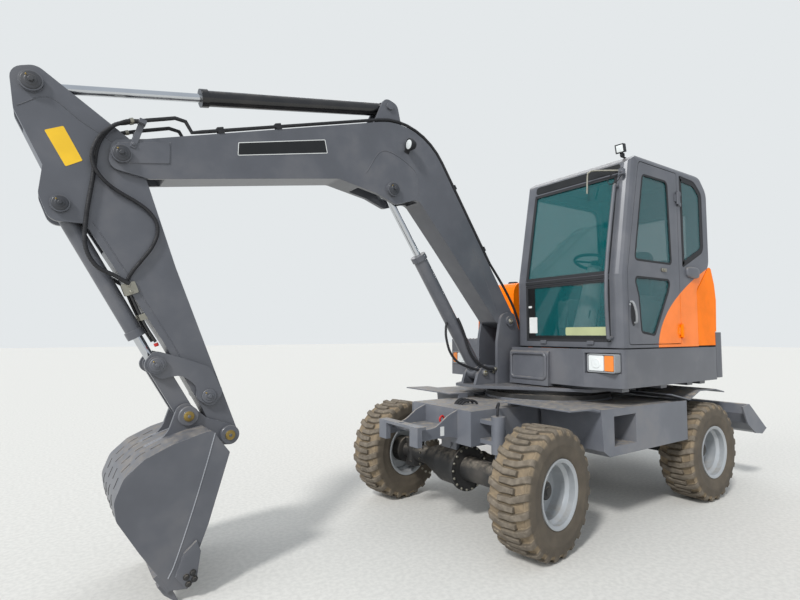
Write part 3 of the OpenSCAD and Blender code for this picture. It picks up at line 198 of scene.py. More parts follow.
def tube(path, radius, sides=12, side=(0, 1, 0)):
    """Circle carried along a path that never runs along the vector side; radius may be one number a ring."""
    path = np.asarray(path, float)
    t = np.gradient(path, axis=0)
    u = np.cross(t, np.asarray(side, float))
    u /= np.linalg.norm(u, axis=1)[:, None]
    v = np.cross(t, u)
    v /= np.linalg.norm(v, axis=1)[:, None]
    a = np.linspace(0, 2 * np.pi, sides, endpoint=False)
    r = np.broadcast_to(np.asarray(radius, float), len(path))[:, None, None]
    ring = np.cos(a)[None, :, None] * u[:, None] + np.sin(a)[None, :, None] * v[:, None]
    n = len(path)
    ends = [list(range(sides))[::-1], list(range((n - 1) * sides, n * sides))]
    return (path[:, None] + r * ring).reshape(-1, 3), net(n, sides, close_cols=True) + ends


def smooth_path(points, step=12.0):
    """Points spaced evenly along the smooth curve through a few places (cubic with shared slopes)."""
    p = np.asarray(points, float)
    q = np.vstack([2 * p[0] - p[1], p, 2 * p[-1] - p[-2]])
    t = np.linspace(0, 1, 24, endpoint=False)[:, None]
    a, b, c, d = (q[i : len(p) - 1 + i, None] for i in range(4))
    fine = 0.5 * (2 * b + (c - a) * t + (2 * a - 5 * b + 4 * c - d) * t**2 + (3 * b - a - 3 * c + d) * t**3)
    fine = np.vstack([fine.reshape(-1, 3), p[-1]])
    s = np.concatenate([[0], np.cumsum(np.linalg.norm(np.diff(fine, axis=0), axis=1))])
    at = np.linspace(0, s[-1], max(2, int(s[-1] / step) + 1))
    return np.stack([np.interp(at, s, fine[:, k]) for k in range(3)], -1)


def weld_bead(place, line, y, size, ripple):
    """Bead through a few places on a plate, y to its side: its radius is size + ripple cos 2.4 k at point k."""
    path = smooth_path(place(*np.asarray(line, float).T, y), 6.0)
    return tube(path, size + ripple * np.cos(np.arange(len(path)) * 2.4), 8)


def prism(low_ring, high_ring):
    """Closed solid between two rings of as many points."""
    low_ring, high_ring = (np.asarray(r, float) for r in (low_ring, high_ring))
    n = len(low_ring)
    faces = net(2, n, close_cols=True) + [list(range(n))[::-1], list(range(n, 2 * n))]
    return np.vstack([low_ring, high_ring]), faces


def block(low, high):
    """Box between two corners."""
    (x0, y0, z0), (x1, y1, z1) = low, high
    ring = np.array([[x0, y0], [x1, y0], [x1, y1], [x0, y1]])
    return prism(np.c_[ring, np.full(4, z0)], np.c_[ring, np.full(4, z1)])


def plane(origin, u_way, v_way, out):
    """Place function of a plane: its origin, and the directions of u, of v and out of it."""
    origin, u_way, v_way, out = (np.asarray(a, float) for a in (origin, u_way, v_way, out))

    def place(u, v, y):
        u, v, y = np.broadcast_arrays(*(np.asarray(a, float) for a in (u, v, y)))
        return origin + u[..., None] * u_way + v[..., None] * v_way + y[..., None] * out

    return place


# Planes of the machine's side, front and top, of the leaning windscreen and of the hood's back
SCREEN_TAN = (250 - 84) / (2796 - 1900)
HOOD_BACK = np.array([46.0, 0.0, 424.0]) / np.hypot(46, 424)
side_plane = plane([0, 0, 0], [1, 0, 0], [0, 0, 1], [0, 1, 0])
front_plane = plane([0, 0, 0], [0, 1, 0], [0, 0, 1], [1, 0, 0])
top_plane = plane([0, 0, 0], [1, 0, 0], [0, 1, 0], [0, 0, 1])
leaning_plane = plane([250 + 1900 * SCREEN_TAN, 0, 0], [0, 1, 0], [-SCREEN_TAN, 0, 1], [1, 0, 0])
hood_plane = plane([-1606, 0, 1466], [0, 1, 0], HOOD_BACK, [-HOOD_BACK[2], 0, HOOD_BACK[0]])


def soften(rows, steps=6):
    """Closed outline of corners (place, height, radius), each an exact arc drawn as a weighted quadratic curve."""
    rows = np.asarray(rows, float)
    p, out, t = rows[:, :2], [], np.linspace(0, 1, steps + 1)[:, None]
    start, end = (1 - t) ** 2, t**2
    for a, b, c, r in zip(np.roll(p, 1, 0), p, np.roll(p, -1, 0), rows[:, 2]):
        u, v = (a - b) / np.linalg.norm(a - b), (c - b) / np.linalg.norm(c - b)
        half = np.arccos(u @ v) / 2
        first, last, middle = b + u * r / np.tan(half), b + v * r / np.tan(half), 2 * t * (1 - t) * np.sin(half)
        curve = (start * first + middle * b + end * last) / (start + middle + end)
        out.append(curve if r > 0 else b[None])
    return np.vstack(out)


def offset(loop, d):
    """Closed outline moved inwards by d, along the mean of the normals on both sides of each point."""
    e = np.roll(loop, -1, 0) - loop
    e = e / np.linalg.norm(e, axis=1)[:, None]
    n = np.c_[-e[:, 1], e[:, 0]]
    before = np.roll(n, 1, 0)
    m = (n + before) / (1 + (n * before).sum(1))[:, None]
    x, y = loop.T
    turn = np.sign(np.sum(x * np.roll(y, -1) - y * np.roll(x, -1)))
    return loop + turn * d * m


def slab(place, outline, y0, y1):
    """Outline in a place function's plane, between two distances from it."""
    u, v = np.asarray(outline, float).T
    return prism(place(u, v, y0), place(u, v, y1))


def rim(place, loop, width, y0, y1):
    """Band of a width inside an outline, between two distances across its plane."""
    inside = offset(loop, width)
    rings = [place(*shape.T, y) for shape, y in ((loop, y0), (loop, y1), (inside, y1), (inside, y0))]
    return np.vstack(rings), net(4, len(loop), close_rows=True, close_cols=True)


def rounded(u0, u1, v0, v1, r):
    """Outline of a rectangle whose corners have the radius r."""
    return soften([[u0, v0, r], [u1, v0, r], [u1, v1, r], [u0, v1, r]])


def plate(place, rectangle, y0, y1):
    """Rounded rectangle between two distances from its plane."""
    return slab(place, rounded(*rectangle), y0, y1)


def band(place, rectangle, width, y0, y1):
    """Rim of a rounded rectangle."""
    return rim(place, rounded(*rectangle), width, y0, y1)


def louvres(place, room, face, side, count):
    """Frame with sloping slats on a plane: each slat is a wedge that stands out at its foot."""
    u0, u1, v0, v1 = room
    parts = [band(place, (*room, 14), 14, face - side, face + 9 * side)]
    step = (v1 - v0 - 24) / count
    for foot in v0 + 12 + step * np.arange(count):
        wedge = np.array([[foot + step, face], [foot, face], [foot, face + 7 * side]])
        parts.append(prism(place(u0 + 10, *wedge.T), place(u1 - 10, *wedge.T)))
    return parts


def pillow(centre, half, power=0.35, tilt=0.0, crown=0.0):
    """Crowned closed cushion: half sizes times signed powers of two angles' sines and cosines, its faces raised."""
    rings, sides, channel = 26, 56, 70
    a = np.linspace(-np.pi / 2, np.pi / 2, rings)[:, None]
    b = np.linspace(0, 2 * np.pi, sides, endpoint=False)[None, :]

    def bent(value, p):
        return np.sign(value) * np.abs(value) ** p

    x = bent(np.cos(a), power) * bent(np.cos(b), power)
    y = bent(np.cos(a), power) * bent(np.sin(b), power)
    z = bent(np.sin(a), 0.55) * (1 + crown * (1 - x**2) * (1 - y**2)) + 0 * b
    # Sewn channels across the middle panel, at an even distance
    groove = np.exp(-(((np.mod(x * half[0] + channel / 2, channel) - channel / 2) / 7) ** 2))
    z = z * (1 - 0.07 * groove * (np.abs(y) < 0.62))
    p = np.stack([x * half[0], y * half[1], z * half[2]], -1).reshape(-1, 3)
    c, s = np.cos(np.radians(tilt)), np.sin(np.radians(tilt))
    p = p @ np.array([[c, 0, s], [0, 1, 0], [-s, 0, c]])
    return p + centre, net(rings, sides, close_cols=True)


def bolt(at, axis, width=30.0, washer=True):
    """Hexagon head with a domed top, on a washer."""
    r = width / 2
    parts = [lathe([[0, 0], [r, 0], [r, r * 0.9], [r * 0.82, r * 1.08], [0, r * 1.08]], at, axis, 6)]
    if washer:
        parts.append(lathe([[0, -1], [r * 1.35, -1], [r * 1.35, 4], [0, 4]], at, axis, 18))
    return parts


def piece(name, parts, body, slot, material, bevel=0.0, angle=35.0, height=None):
    """One object out of parts given in machine millimetres, riding on a body; height is kept with its points."""
    parts = [parts] if isinstance(parts, tuple) else list(parts)
    starts = np.cumsum([0] + [len(p[0]) for p in parts])
    faces = [[int(k) + int(s) for k in f] for (_, fs), s in zip(parts, starts) for f in fs]
    mesh = bpy.data.meshes.new(name)
    mesh.from_pydata(row(np.vstack([p[0] for p in parts])).tolist(), [], faces)
    if height is not None:
        mesh.attributes.new("height", "FLOAT", "POINT").data.foreach_set("value", height.astype(np.float32))
    work = bmesh.new()
    work.from_mesh(mesh)
    bmesh.ops.remove_doubles(work, verts=work.verts, dist=WELD)
    bmesh.ops.recalc_face_normals(work, faces=work.faces)
    work.to_mesh(mesh)
    work.free()
    mesh.polygons.foreach_set("use_smooth", [True] * len(mesh.polygons))
    mesh.set_sharp_from_angle(angle=np.radians(angle))
    mesh.materials.append(bpy.data.materials[material])
    obj = bpy.data.objects.new(name, mesh)
    bpy.context.scene.collection.objects.link(obj)
    if bevel:
        rounding = obj.modifiers.new("Rounded edges", "BEVEL")
        rounding.width = bevel / 1000
        rounding.segments = 2
        rounding.limit_method = "ANGLE"
    if body:
        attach(obj, body)
    return obj


def hose(name, places, core, width, low_body, high_body, crimped=0):
    """Spiral wrapped hose through a few places: its radius is core + rise cos(2 pi s / pitch) along its length s.

    So many points at each end are crimped to one radius. The width over the spiral, its declared diameter, is not used.
    """
    path = smooth_path(places, HOSE_STEP)
    k = np.arange(len(path))
    radius = core + SPIRAL_RISE * np.cos(k * 2 * np.pi * HOSE_STEP / SPIRAL_PITCH)
    radius = np.where((k < crimped) | (k > len(path) - crimped), CRIMP_R, radius)
    obj = piece(name, tube(path, radius, 12), None, "hose", "Spiral wrapped hose", angle=60)
    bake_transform(obj)
    return obj


def wheel_place(name):
    """Centre of a wheel, with its directions ahead and outwards, which turn as it is steered."""
    side = 1 if name.endswith("left") else -1
    front = name.startswith("front")
    turn = np.radians(STEERED) if front else 0.0
    ahead = np.array([np.cos(turn), np.sin(turn), 0.0])
    out = np.array([-np.sin(turn), np.cos(turn), 0.0]) * side
    if front:
        return np.array([AXLE_X, side * KINGPIN_Y, AXLE_Z]) + out * (HALF_TRACK - KINGPIN_Y), ahead, out
    return np.array([-AXLE_X, side * HALF_TRACK, AXLE_Z]), ahead, out


# Materials


SMOOTH = {"interpolation_type": "SMOOTHSTEP"}
TIMES = {"operation": "MULTIPLY", "use_clamp": True}
# Range that holds most values of a noise, and the range over which its blotches fade in
MOST, BLOTCHES = (0.3, 0.7), (0.3, 0.75)


def add(tree, node, inputs=(), **settings):
    """Add a node of a kind, or take one that is there, with its own settings and its inputs.

    Inputs are listed in order or by key, each a value, a socket, or a node that gives its first live output.
    """
    if isinstance(node, str):
        node = tree.nodes.new("ShaderNode" + node)
    for key, value in settings.items():
        setattr(node, key, value)
    for key, value in inputs.items() if isinstance(inputs, dict) else enumerate(inputs):
        if isinstance(value, bpy.types.Node):
            value = next(socket for socket in value.outputs if socket.enabled)
        if isinstance(value, bpy.types.NodeSocket):
            tree.links.new(value, node.inputs[key])
        else:
            node.inputs[key].default_value = value
    return node


def start(name):
    """A new material with its tree, its shader and the object's own coordinates."""
    made = bpy.data.materials.new(name)
    made.use_nodes = True
    tree = made.node_tree
    return tree, tree.nodes["Principled BSDF"], add(tree, "TexCoord")


def features(spot, size_mm, detail=3.0, rough=0.55):
    """Inputs of a noise whose features are about size_mm across."""
    return {"Vector": spot, "Scale": 1000 / size_mm, "Detail": detail, "Roughness": rough}


def coated(name, base, rough=0.4, metallic=0.0, coat=0.0, dust=0.3, dust_colour=None, edge_mm=3.0, worn=0.0,
           bare="#8d8f92", grain_mm=3.0, grain=0.05, patch_mm=260.0, second=None, more=None):
    """Painted, cast or rubber surface.

    Its colour drifts over patch_mm, dust lies on what faces up, its edges catch the light over edge_mm and show
    bare metal by the share worn, and its grain stands up over grain_mm.
    """
    tree, shader, coords = start(name)
    spot = coords.outputs["Object"]
    patches = add(tree, "TexNoise", features(spot, patch_mm))
    tone = add(tree, "MapRange", [patches, *MOST, 0.9, 1.08], **SMOOTH)
    ground = second(tree, spot, base) if second else base[:3]
    shaded = add(tree, "VectorMath", {0: ground, "Scale": tone}, operation="SCALE")
    # Dust lies in specks on what faces up, and as a thin film in patches everywhere
    up = add(tree, "SeparateXYZ", [coords.outputs["Normal"]]).outputs[2]
    level = add(tree, "MapRange", [up, 0.15, 0.95], **SMOOTH)
    specks = add(tree, "TexNoise", features(spot, 55.0, 6.0, 0.65))
    speckle = add(tree, "Math", [add(tree, "MapRange", [specks, *BLOTCHES], **SMOOTH), dust * 1.4], **TIMES)
    laid = add(tree, "Math", [level, speckle], **TIMES)
    film = add(tree, "Math", [add(tree, "MapRange", [patches, 0.45, 0.75], **SMOOTH), dust * 0.22], **TIMES)
    dirt = add(tree, "Math", [laid, film], operation="MAXIMUM")
    result = add(tree, "Mix", {0: dirt, 6: shaded, 7: dust_colour or tuple(colours().dust)}, data_type="RGBA")
    edge = add(tree, "Bevel", {"Radius": edge_mm / 1000}, samples=4)
    if worn:
        # An edge is where the rounded normal turns away from the face's own
        flat = add(tree, "NewGeometry").outputs["True Normal"]
        turn = add(tree, "VectorMath", [edge, flat], operation="DOT_PRODUCT")
        near = add(tree, "MapRange", [turn, 0.99, 0.86], **SMOOTH)
        marks = add(tree, "TexNoise", features(spot, 22.0, 5.0))
        rubbed = add(tree, "MapRange", [marks, 0.62 - 0.3 * worn, 0.72], **SMOOTH)
        chips = add(tree, "Math", [near, rubbed], **TIMES)
        result = add(tree, "Mix", {0: chips, 6: result, 7: linear(bare)}, data_type="RGBA")
    grit = add(tree, "TexNoise", features(spot, grain_mm, 4.0))
    bump = add(tree, "Bump", {"Strength": grain, "Distance": 0.002, "Height": grit, "Normal": edge})
    dull = add(tree, "MapRange", [dirt, 0.0, 0.6, rough, min(0.95, rough + 0.35)], **SMOOTH)
    add(tree, shader, {"Base Color": result, "Roughness": dull, "Normal": bump, "Metallic": metallic,
                       "Coat Weight": coat, "Coat Roughness": 0.12, **(more or {})})


def swept_edge(tree, spot, base):
    """Grey above and in front of a swept curve on the cab's left side, orange below and behind it.

    The curve starts at foot_x and foot_z, and rises by rise times the root of its distance behind that.
    """
    foot_x, foot_z, rise, left_y = -1.170, 1.329, 0.76, 0.85
    x, y, z = add(tree, "SeparateXYZ", [spot]).outputs
    behind = add(tree, "Math", [foot_x, x], operation="SUBTRACT")
    behind = add(tree, "Math", [behind, 0.0], operation="MAXIMUM")
    line = add(tree, "Math", [add(tree, "Math", [behind, 0.5], operation="POWER"), foot_z / rise], operation="ADD")
    under = add(tree, "Math", [line, add(tree, "Math", [z, rise], operation="DIVIDE")], operation="SUBTRACT")
    left = add(tree, "Math", [y, left_y], operation="GREATER_THAN")
    mask = add(tree, "Math", [add(tree, "Math", [under, 0.0], operation="GREATER_THAN"), left], **TIMES)
    past = add(tree, "Math", [x, foot_x - 0.0005], operation="LESS_THAN")
    mask = add(tree, "Math", [mask, past], **TIMES)
    return add(tree, "Mix", {0: mask, 6: base, 7: tuple(colours().body)}, data_type="RGBA")


def tread_tone(tree, spot, base):
    """Brown dirt low in the grooves and rubbed grey on the lugs, by the height that the tread carries with it."""
    high = add(tree, "Attribute", attribute_name="height").outputs["Fac"]
    blotch = add(tree, "MapRange", [add(tree, "TexNoise", features(spot, 40.0, 5.0)), *BLOTCHES], **SMOOTH)
    # Heights where it starts and is full, its least and most share, and its colour
    for first, full, least, most, tone in ((0.45, 0.1, 0.6, 1.0, "#86765f"), (0.7, 0.95, 0.25, 0.9, "#756c60")):
        where = add(tree, "MapRange", [high, first, full], **SMOOTH)
        share = add(tree, "MapRange", [blotch, 0.0, 1.0, least, most], **SMOOTH)
        mask = add(tree, "Math", [where, share], **TIMES)
        base = add(tree, "Mix", {0: mask, 6: base, 7: linear(tone)}, data_type="RGBA")
    return base


def plain(name, base, rough, metallic=0.0, size_mm=20.0, grain=0.04, more=None):
    """Finish with a fine grain and slight drift of tone, for glass, chrome, lenses and trim."""
    tree, shader, coords = start(name)
    spot = coords.outputs["Object"]
    drift = add(tree, "TexNoise", features(spot, size_mm * 6))
    tone = add(tree, "MapRange", [drift, *MOST, 0.93, 1.05], **SMOOTH)
    shaded = add(tree, "VectorMath", {0: tuple(base)[:3], "Scale": tone}, operation="SCALE")
    smears = add(tree, "TexNoise", features(spot, size_mm * 3, 5.0))
    smear = add(tree, "MapRange", [smears, 0.3, 0.8, rough, rough * 1.6], **SMOOTH)
    grit = add(tree, "TexNoise", features(spot, size_mm))
    bump = add(tree, "Bump", {"Strength": grain, "Distance": 0.001, "Height": grit})
    add(tree, shader, {"Base Color": shaded, "Roughness": smear, "Normal": bump, "Metallic": metallic, **(more or {})})


def colours():
    """The scene's colour properties."""
    return bpy.context.scene.excavator_colours


def make_finishes():
    """All the finishes, named for what they are and how they were made."""
    c = colours()
    paint, chassis, iron = tuple(c.paint), tuple(c.chassis), tuple(c.iron)
    # Two-pack enamel sprayed on steel: satin sheen, soft highlights on folded edges, light dust on top
    coated("Grey enamel", paint, 0.36, coat=0.15, dust=0.35, worn=0.15)
    coated("Cab enamel", paint, 0.36, coat=0.15, dust=0.25, second=swept_edge)
    coated("Chassis enamel", chassis, 0.45, dust=0.75, worn=0.3)
    coated("Orange enamel", tuple(c.body), 0.42, dust=0.06, more={"Specular IOR Level": 0.12})
    coated("Glossy black enamel", linear("#141416"), 0.25, coat=0.4, dust=0.2)
    # Turned pins under dark enamel, chipped on their rims
    coated("Dark pin enamel", linear("#34363b"), 0.4, coat=0.15, dust=0.25, worn=0.2)
    # Thin primer on rough castings: matt, pitted and dirty
    coated("Cast iron paint", iron, 0.62, dust=0.6, grain_mm=5.0, grain=0.25)
    coated("Cast counterweight paint", paint, 0.42, dust=0.3, grain_mm=7.0, grain=0.12)
    # Digging edges: paint rubbed through to ground steel
    coated("Worn bucket paint", paint, 0.4, dust=0.4, worn=0.8, edge_mm=4.0)
    # Vulcanised rubber: dull, brown with dried dirt, the lugs' faces rubbed lighter
    coated("Tyre rubber", tuple(c.rubber), 0.82, dust=0.3, dust_colour=linear("#8e7f68"), grain_mm=6.0, grain=0.3,
           edge_mm=3.0, worn=0.5, bare="#938875", patch_mm=120.0, second=tread_tone)
    # Weld metal under thin paint, in a grey paler than the paint round it: a painted highlight, so that the beads read
    # as a pale ripple
    coated("Weld paint with painted highlight", linear("#8c8e93"), 0.45, dust=0.2, grain_mm=3.0, grain=0.1)
    # Pressed steel sprayed silver: a soft metallic sheen, dusty where it faces up
    coated("Silver wheel enamel", tuple(c.rim), 0.42, metallic=0.35, dust=0.4, edge_mm=2.0)
    # Hard chrome on the rods: mirror-like with a grey cast
    plain("Hard chrome", linear("#c9ccd0"), 0.12, 1.0, 60.0, 0.02)
    # Zinc plating and turned brass: dull metal with a fine spangle
    plain("Zinc plated steel", linear("#9d9a8e"), 0.38, 1.0, 8.0, 0.08)
    plain("Brass fitting", linear("#9c8650"), 0.4, 1.0, 8.0, 0.08)
    # Nylon spiral over rubber: black with a soft gloss on each turn
    plain("Spiral wrapped hose", linear("#1d1d20"), 0.55, 0.0, 6.0, 0.15)
    # Moulded plastics with a fine leather grain, matt and even
    plain("Moulded trim", linear("#232427"), 0.6, 0.0, 2.0, 0.2)
    plain("Pale grey trim", linear("#8b8d8f"), 0.6, 0.0, 2.0, 0.2)
    plain("Light column trim", linear("#d4d8d6"), 0.55, 0.0, 2.0, 0.2)
    # Lamp glass and lenses: smooth, bright and clear coated
    plain("Clear lens", linear("#dfe3e2"), 0.08, 0.0, 30.0, 0.02, {"Coat Weight": 1.0})
    plain("Amber lens", linear("#e8801c"), 0.15, 0.0, 30.0, 0.02, {"Coat Weight": 0.8})
    plain("Red plastic", linear("#b8231d"), 0.35, 0.0, 20.0, 0.03)
    # Films and prints: flat colour behind a thin smooth skin
    plain("Blank yellow plate", tuple(c.label), 0.4, 0.0, 30.0, 0.02, {"Coat Weight": 0.3})
    plain("Blank white label", linear("#d9dad8"), 0.45, 0.0, 30.0, 0.02)
    plain("Pale yellow film", linear("#a9af84"), 0.5, 0.0, 30.0, 0.02)
    plain("Black window print", linear("#0f1011"), 0.3, 0.0, 30.0, 0.02)
    # Tempered safety glass, 6 mm with a green-blue tint: alpha carries its see-through, the coat its gloss
    plain("Tinted safety glass", tuple(c.glass), 0.03, 0.0, 400.0, 0.005,
          {"Coat Weight": 1.0, "Coat Roughness": 0.02, "Alpha": 0.47})
    # Woven cloth over foam: matt, with a faint sheen at its edges
    plain("Woven cushion cloth", linear("#34363a"), 0.9, 0.0, 3.0, 0.5, {"Sheen Weight": 0.35})


FINISH_OF = {
    "grey_paint": "Grey enamel", "chassis_paint": "Chassis enamel", "orange_paint": "Orange enamel",
    "axle_paint": "Cast iron paint", "cast_weight": "Cast counterweight paint", "cylinder_paint": "Grey enamel",
    "arm_cylinder_paint": "Glossy black enamel", "chrome": "Hard chrome", "tyre_rubber": "Tyre rubber",
    "rim_paint": "Silver wheel enamel", "glazing": "Tinted safety glass", "seat_cover": "Woven cushion cloth",
    "cab_trim": "Moulded trim", "lamp": "Clear lens", "hose": "Spiral wrapped hose", "engine_block": "Cast iron paint",
}
SPECIAL = {"cab": "Cab enamel", "door": "Cab enamel", "bucket": "Worn bucket paint"}


# Operators


class FinishFrame(bpy.types.Operator):
    """Give every node of the frame its finish"""

    bl_idname = "excavator.finish_frame"
    bl_label = "Finish the Frame"

    def execute(self, context):
        make_finishes()
        slots = {entry["node"]: entry["material_slot"] for entry in frame["record"]["subparts"]}
        for name, obj in frame["nodes"].items():
            made = bpy.data.materials[SPECIAL.get(name) or FINISH_OF[slots[name]]]
            if not obj.material_slots:
                obj.data.materials.append(made)
            for place in obj.material_slots:
                place.material = made
        return {"FINISHED"}


def stand(name, data, ways, at=(0.0, 0.0, 0.0)):
    """Lamp or camera whose own three axes are given directions."""
    holder = bpy.data.objects.new(name, data)
    bpy.context.scene.collection.objects.link(holder)
    holder.matrix_world = Matrix(np.vstack([np.column_stack([*ways, at]), [0, 0, 0, 1]]).tolist())
    return holder


class SetStage(bpy.types.Operator):
    """Floor, soft lamps, pale surroundings and the camera"""

    bl_idname = "excavator.set_stage"
    bl_label = "Set the Stage"

    def execute(self, context):
        scene = context.scene
        scene.view_settings.view_transform = "Standard"
        ground = bpy.data.meshes.new("floor")
        corners = [(-FLOOR, -FLOOR, 0), (FLOOR, -FLOOR, 0), (FLOOR, FLOOR, 0), (-FLOOR, FLOOR, 0)]
        ground.from_pydata(corners, [], [(0, 1, 2, 3)])
        floor = bpy.data.objects.new("floor", ground)
        scene.collection.objects.link(floor)
        # Brushed concrete: pale and matt, with a fine speckle of sand
        plain("Pale concrete", linear("#d2d0ca"), 0.85, 0.0, 5.0, 0.02)
        ground.materials.append(bpy.data.materials["Pale concrete"])
        world = bpy.data.worlds.new("Soft studio")
        scene.world = world
        world.use_nodes = True
        tree = world.node_tree
        tree.nodes.clear()
        path = add(tree, "LightPath").outputs
        seen = add(tree, "Math", [path["Is Camera Ray"], path["Is Transmission Ray"]], operation="MAXIMUM")
        fill = add(tree, "Background", [linear("#dfe6ee"), 0.8])
        back = add(tree, "Background", [linear("#e4e8ea"), 1.0])
        add(tree, "OutputWorld", [add(tree, "MixShader", [seen, fill, back])])
        # Soft lamps: name, strength, size in degrees, direction the light travels
        for name, strength, spread, travel in (
            ("key", 2.4, 8.0, (-1.0, -0.5, -0.95)),
            ("front", 0.8, 40.0, (-1.0, 0.1, -0.4)),
            ("side", 0.3, 40.0, (-0.5, -1.0, -0.3)),
            ("back", 0.5, 40.0, (0.8, 0.9, -0.8)),
        ):
            lamp = bpy.data.lights.new(name, "SUN")
            lamp.energy = strength
            lamp.angle = np.radians(spread)
            stand(name, lamp, frame_of(-np.array(travel, float)))
        look = np.array([np.cos(YAW) * np.cos(PITCH), np.sin(YAW) * np.cos(PITCH), np.sin(PITCH)])
        right = np.array([np.sin(YAW), -np.cos(YAW), 0.0])
        data = bpy.data.cameras.new("camera")
        data.sensor_width = SENSOR
        data.lens = FOCAL * SENSOR / FRAME_PIXELS
        scene.camera = stand("camera", data, (right, np.cross(right, look), -look), row(CAMERA_AT))
        return {"FINISHED"}


class MakeTyres(bpy.types.Operator):
    """Tyres with block lugs in two staggered rows"""

    bl_idname = "excavator.make_tyres"
    bl_label = "Make the Tyres"

    def execute(self, context):
        s = context.scene.excavator_sizes
        big, half, lug = s.tyre_r * 1000, s.tyre_half * 1000, s.lug * 1000
        bead_r, bead_y = 205.5, 131.7
        # Half section over the tread, as radius and distance from the middle plane, with a thin ring on its wall
        section = [[0, 0], [0, 30], [0, 60], [-1, half - 38], [-7, half - 18], [-26, half - 6], [-56, half - 2.5],
                   [-96, half - 1.5], [-102, half], [-108, half], [-114, half - 2.5], [-152, half - 2]]
        r, y = np.array(section, float).T
        r = np.concatenate([r + big, [244, 228, 222, bead_r]])
        y = np.concatenate([y, [half - 6, half - 12, 132.2, bead_y]])
        run = np.concatenate([[0], np.cumsum(np.hypot(np.diff(r), np.diff(y)))])
        places = np.concatenate([np.linspace(0, run[6], 28), run[7:]])
        r, y = np.interp(places, run, r), np.interp(places, run, y)
        r, y = np.concatenate([r[:0:-1], r]), np.concatenate([-y[:0:-1], y])
        # Lugs in each row, and rings of points round the tyre
        count = 24
        steps = 24 * count
        pitch = 2 * np.pi * big / count
        t = np.linspace(0, 2 * np.pi, steps, endpoint=False)[:, None]
        # Bars: where they bend and end from the middle, slope past the bend, half width, its growth, and flank
        bend_at, end_at, slope, bar_half, growth, flank = 0.29 * half, 0.39 * half, 0.38, 21, 4, 8

        def lugs(side):
            """Height from 0 to 1 of one row: straight bars over the middle that bend towards the row's shoulder."""
            out = y * side
            lag = np.maximum(out - bend_at, 0) * slope
            away = np.abs((t * count / (2 * np.pi) - lag / pitch + 0.25 * side) % 1.0 - 0.5) * pitch
            bar = np.clip((bar_half + growth * out / half - away) / flank + 0.5, 0, 1)
            return np.minimum(bar, np.clip((out + end_at) / flank + 0.5, 0, 1))

        high = np.maximum(lugs(1), lugs(-1))
        reach = np.clip((r - (big - 56)) / 26, 0, 1)
        depth = lug * (1 - high) * reach
        square = np.clip((half - 4 - np.abs(y)) / 30, 0, 1)
        radius = r - depth * (0.25 + 0.75 * square)
        across = y - np.sign(y) * depth * 0.42 * (1 - square)
        height = np.concatenate([(high * reach + 0.5 * (1 - reach)).ravel(), np.full(2 * steps, 0.5)])
        for name in WHEELS:
            centre, ahead, out = wheel_place(name)
            ring = np.cos(t)[..., None] * ahead + np.sin(t)[..., None] * np.array([0, 0, 1.0])
            points = centre + radius[..., None] * ring + across[..., None] * out
            lining = centre + bead_r * ring + np.array([bead_y, -bead_y])[None, :, None] * out
            parts = [(p.reshape(-1, 3), net(steps, p.shape[1], close_rows=True)) for p in (points, lining)]
            tread = piece("tyre_tread_" + name, parts, "wheel_" + name, "tyre_rubber", "Tyre rubber", angle=50,
                          height=height)
            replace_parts(tread, "tyre_" + name)
        return {"FINISHED"}


class MakeHoses(bpy.types.Operator):
    """Jumper hoses between the boom and the arm"""

    bl_idname = "excavator.make_hoses"
    bl_label = "Make the Hoses"

    def execute(self, context):
        ends = ("main_boom", "dipper")
        first = boom_at(3262.4, 207.7)
        offsets = [[0.6, -0.2], [28, -10.6], [94, -46], [162, -170], [182, -370], [204, -573], [204, -742],
                   [150, -850], [60, -900], [-20, -945]]
        pair = [hose("jumper_hose_" + name, [first + [dx, y, dz] for dx, dz in offsets], 11.6, 24, *ends, crimped=12)
                for y, name in ((95, "left"), (-95, "right"))]
        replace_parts(pair[0], "arm_hoses")
        # Third hose, in a double bend over the arm's left face and into the valve
        route = [[3402.6, -137, 2677.5], [3440, -138, 2662], [3500, -139, 2620], [3556, -140, 2558], [3586, -141, 2486],
                 [3592, -141, 2417], [3566, -144, 2350], [3512, -154, 2293], [3443, -163, 2252], [3369, -166, 2216],
                 [3298, -166, 2168], [3254, -166, 2108], [3245, -166, 2040], [3270, -166, 1960], [3320, -166, 1880],
                 [3366, -170, 1812], [3389, -182, 1765], [3391.5, -189, 1742]]
        hose("face_hose", route, 10.6, 22, *ends)
        return {"FINISHED"}


# Windows of the cab's sides, as corners with their radii
UPPER_WINDOW = [[-68, 2715, 50], [-450, 2716, 50], [-482, 2013, 40], [76, 2010, 40]]
LOWER_WINDOW = [[89, 1893, 40], [-458, 1895, 40], [-420, 1790, 60], [-193, 1428, 40], [4, 1451, 40], [30, 1740, 80]]
QUARTER_WINDOW = [[-640, 2800, 20], [-900, 2790, 150], [-1030, 2690, 90], [-1030, 2170, 90], [-648, 2000, 20]]
RIGHT_WINDOW = [[20, 2730, 60], [-1000, 2740, 120], [-1020, 2200, 100], [-880, 1900, 60], [165, 1900, 60]]
# Outer faces of the cab's left side, of its left glass and of its low front glass
CAB_SIDE, SIDE_GLASS, LOW_GLASS = 924, 917.2, 242.6


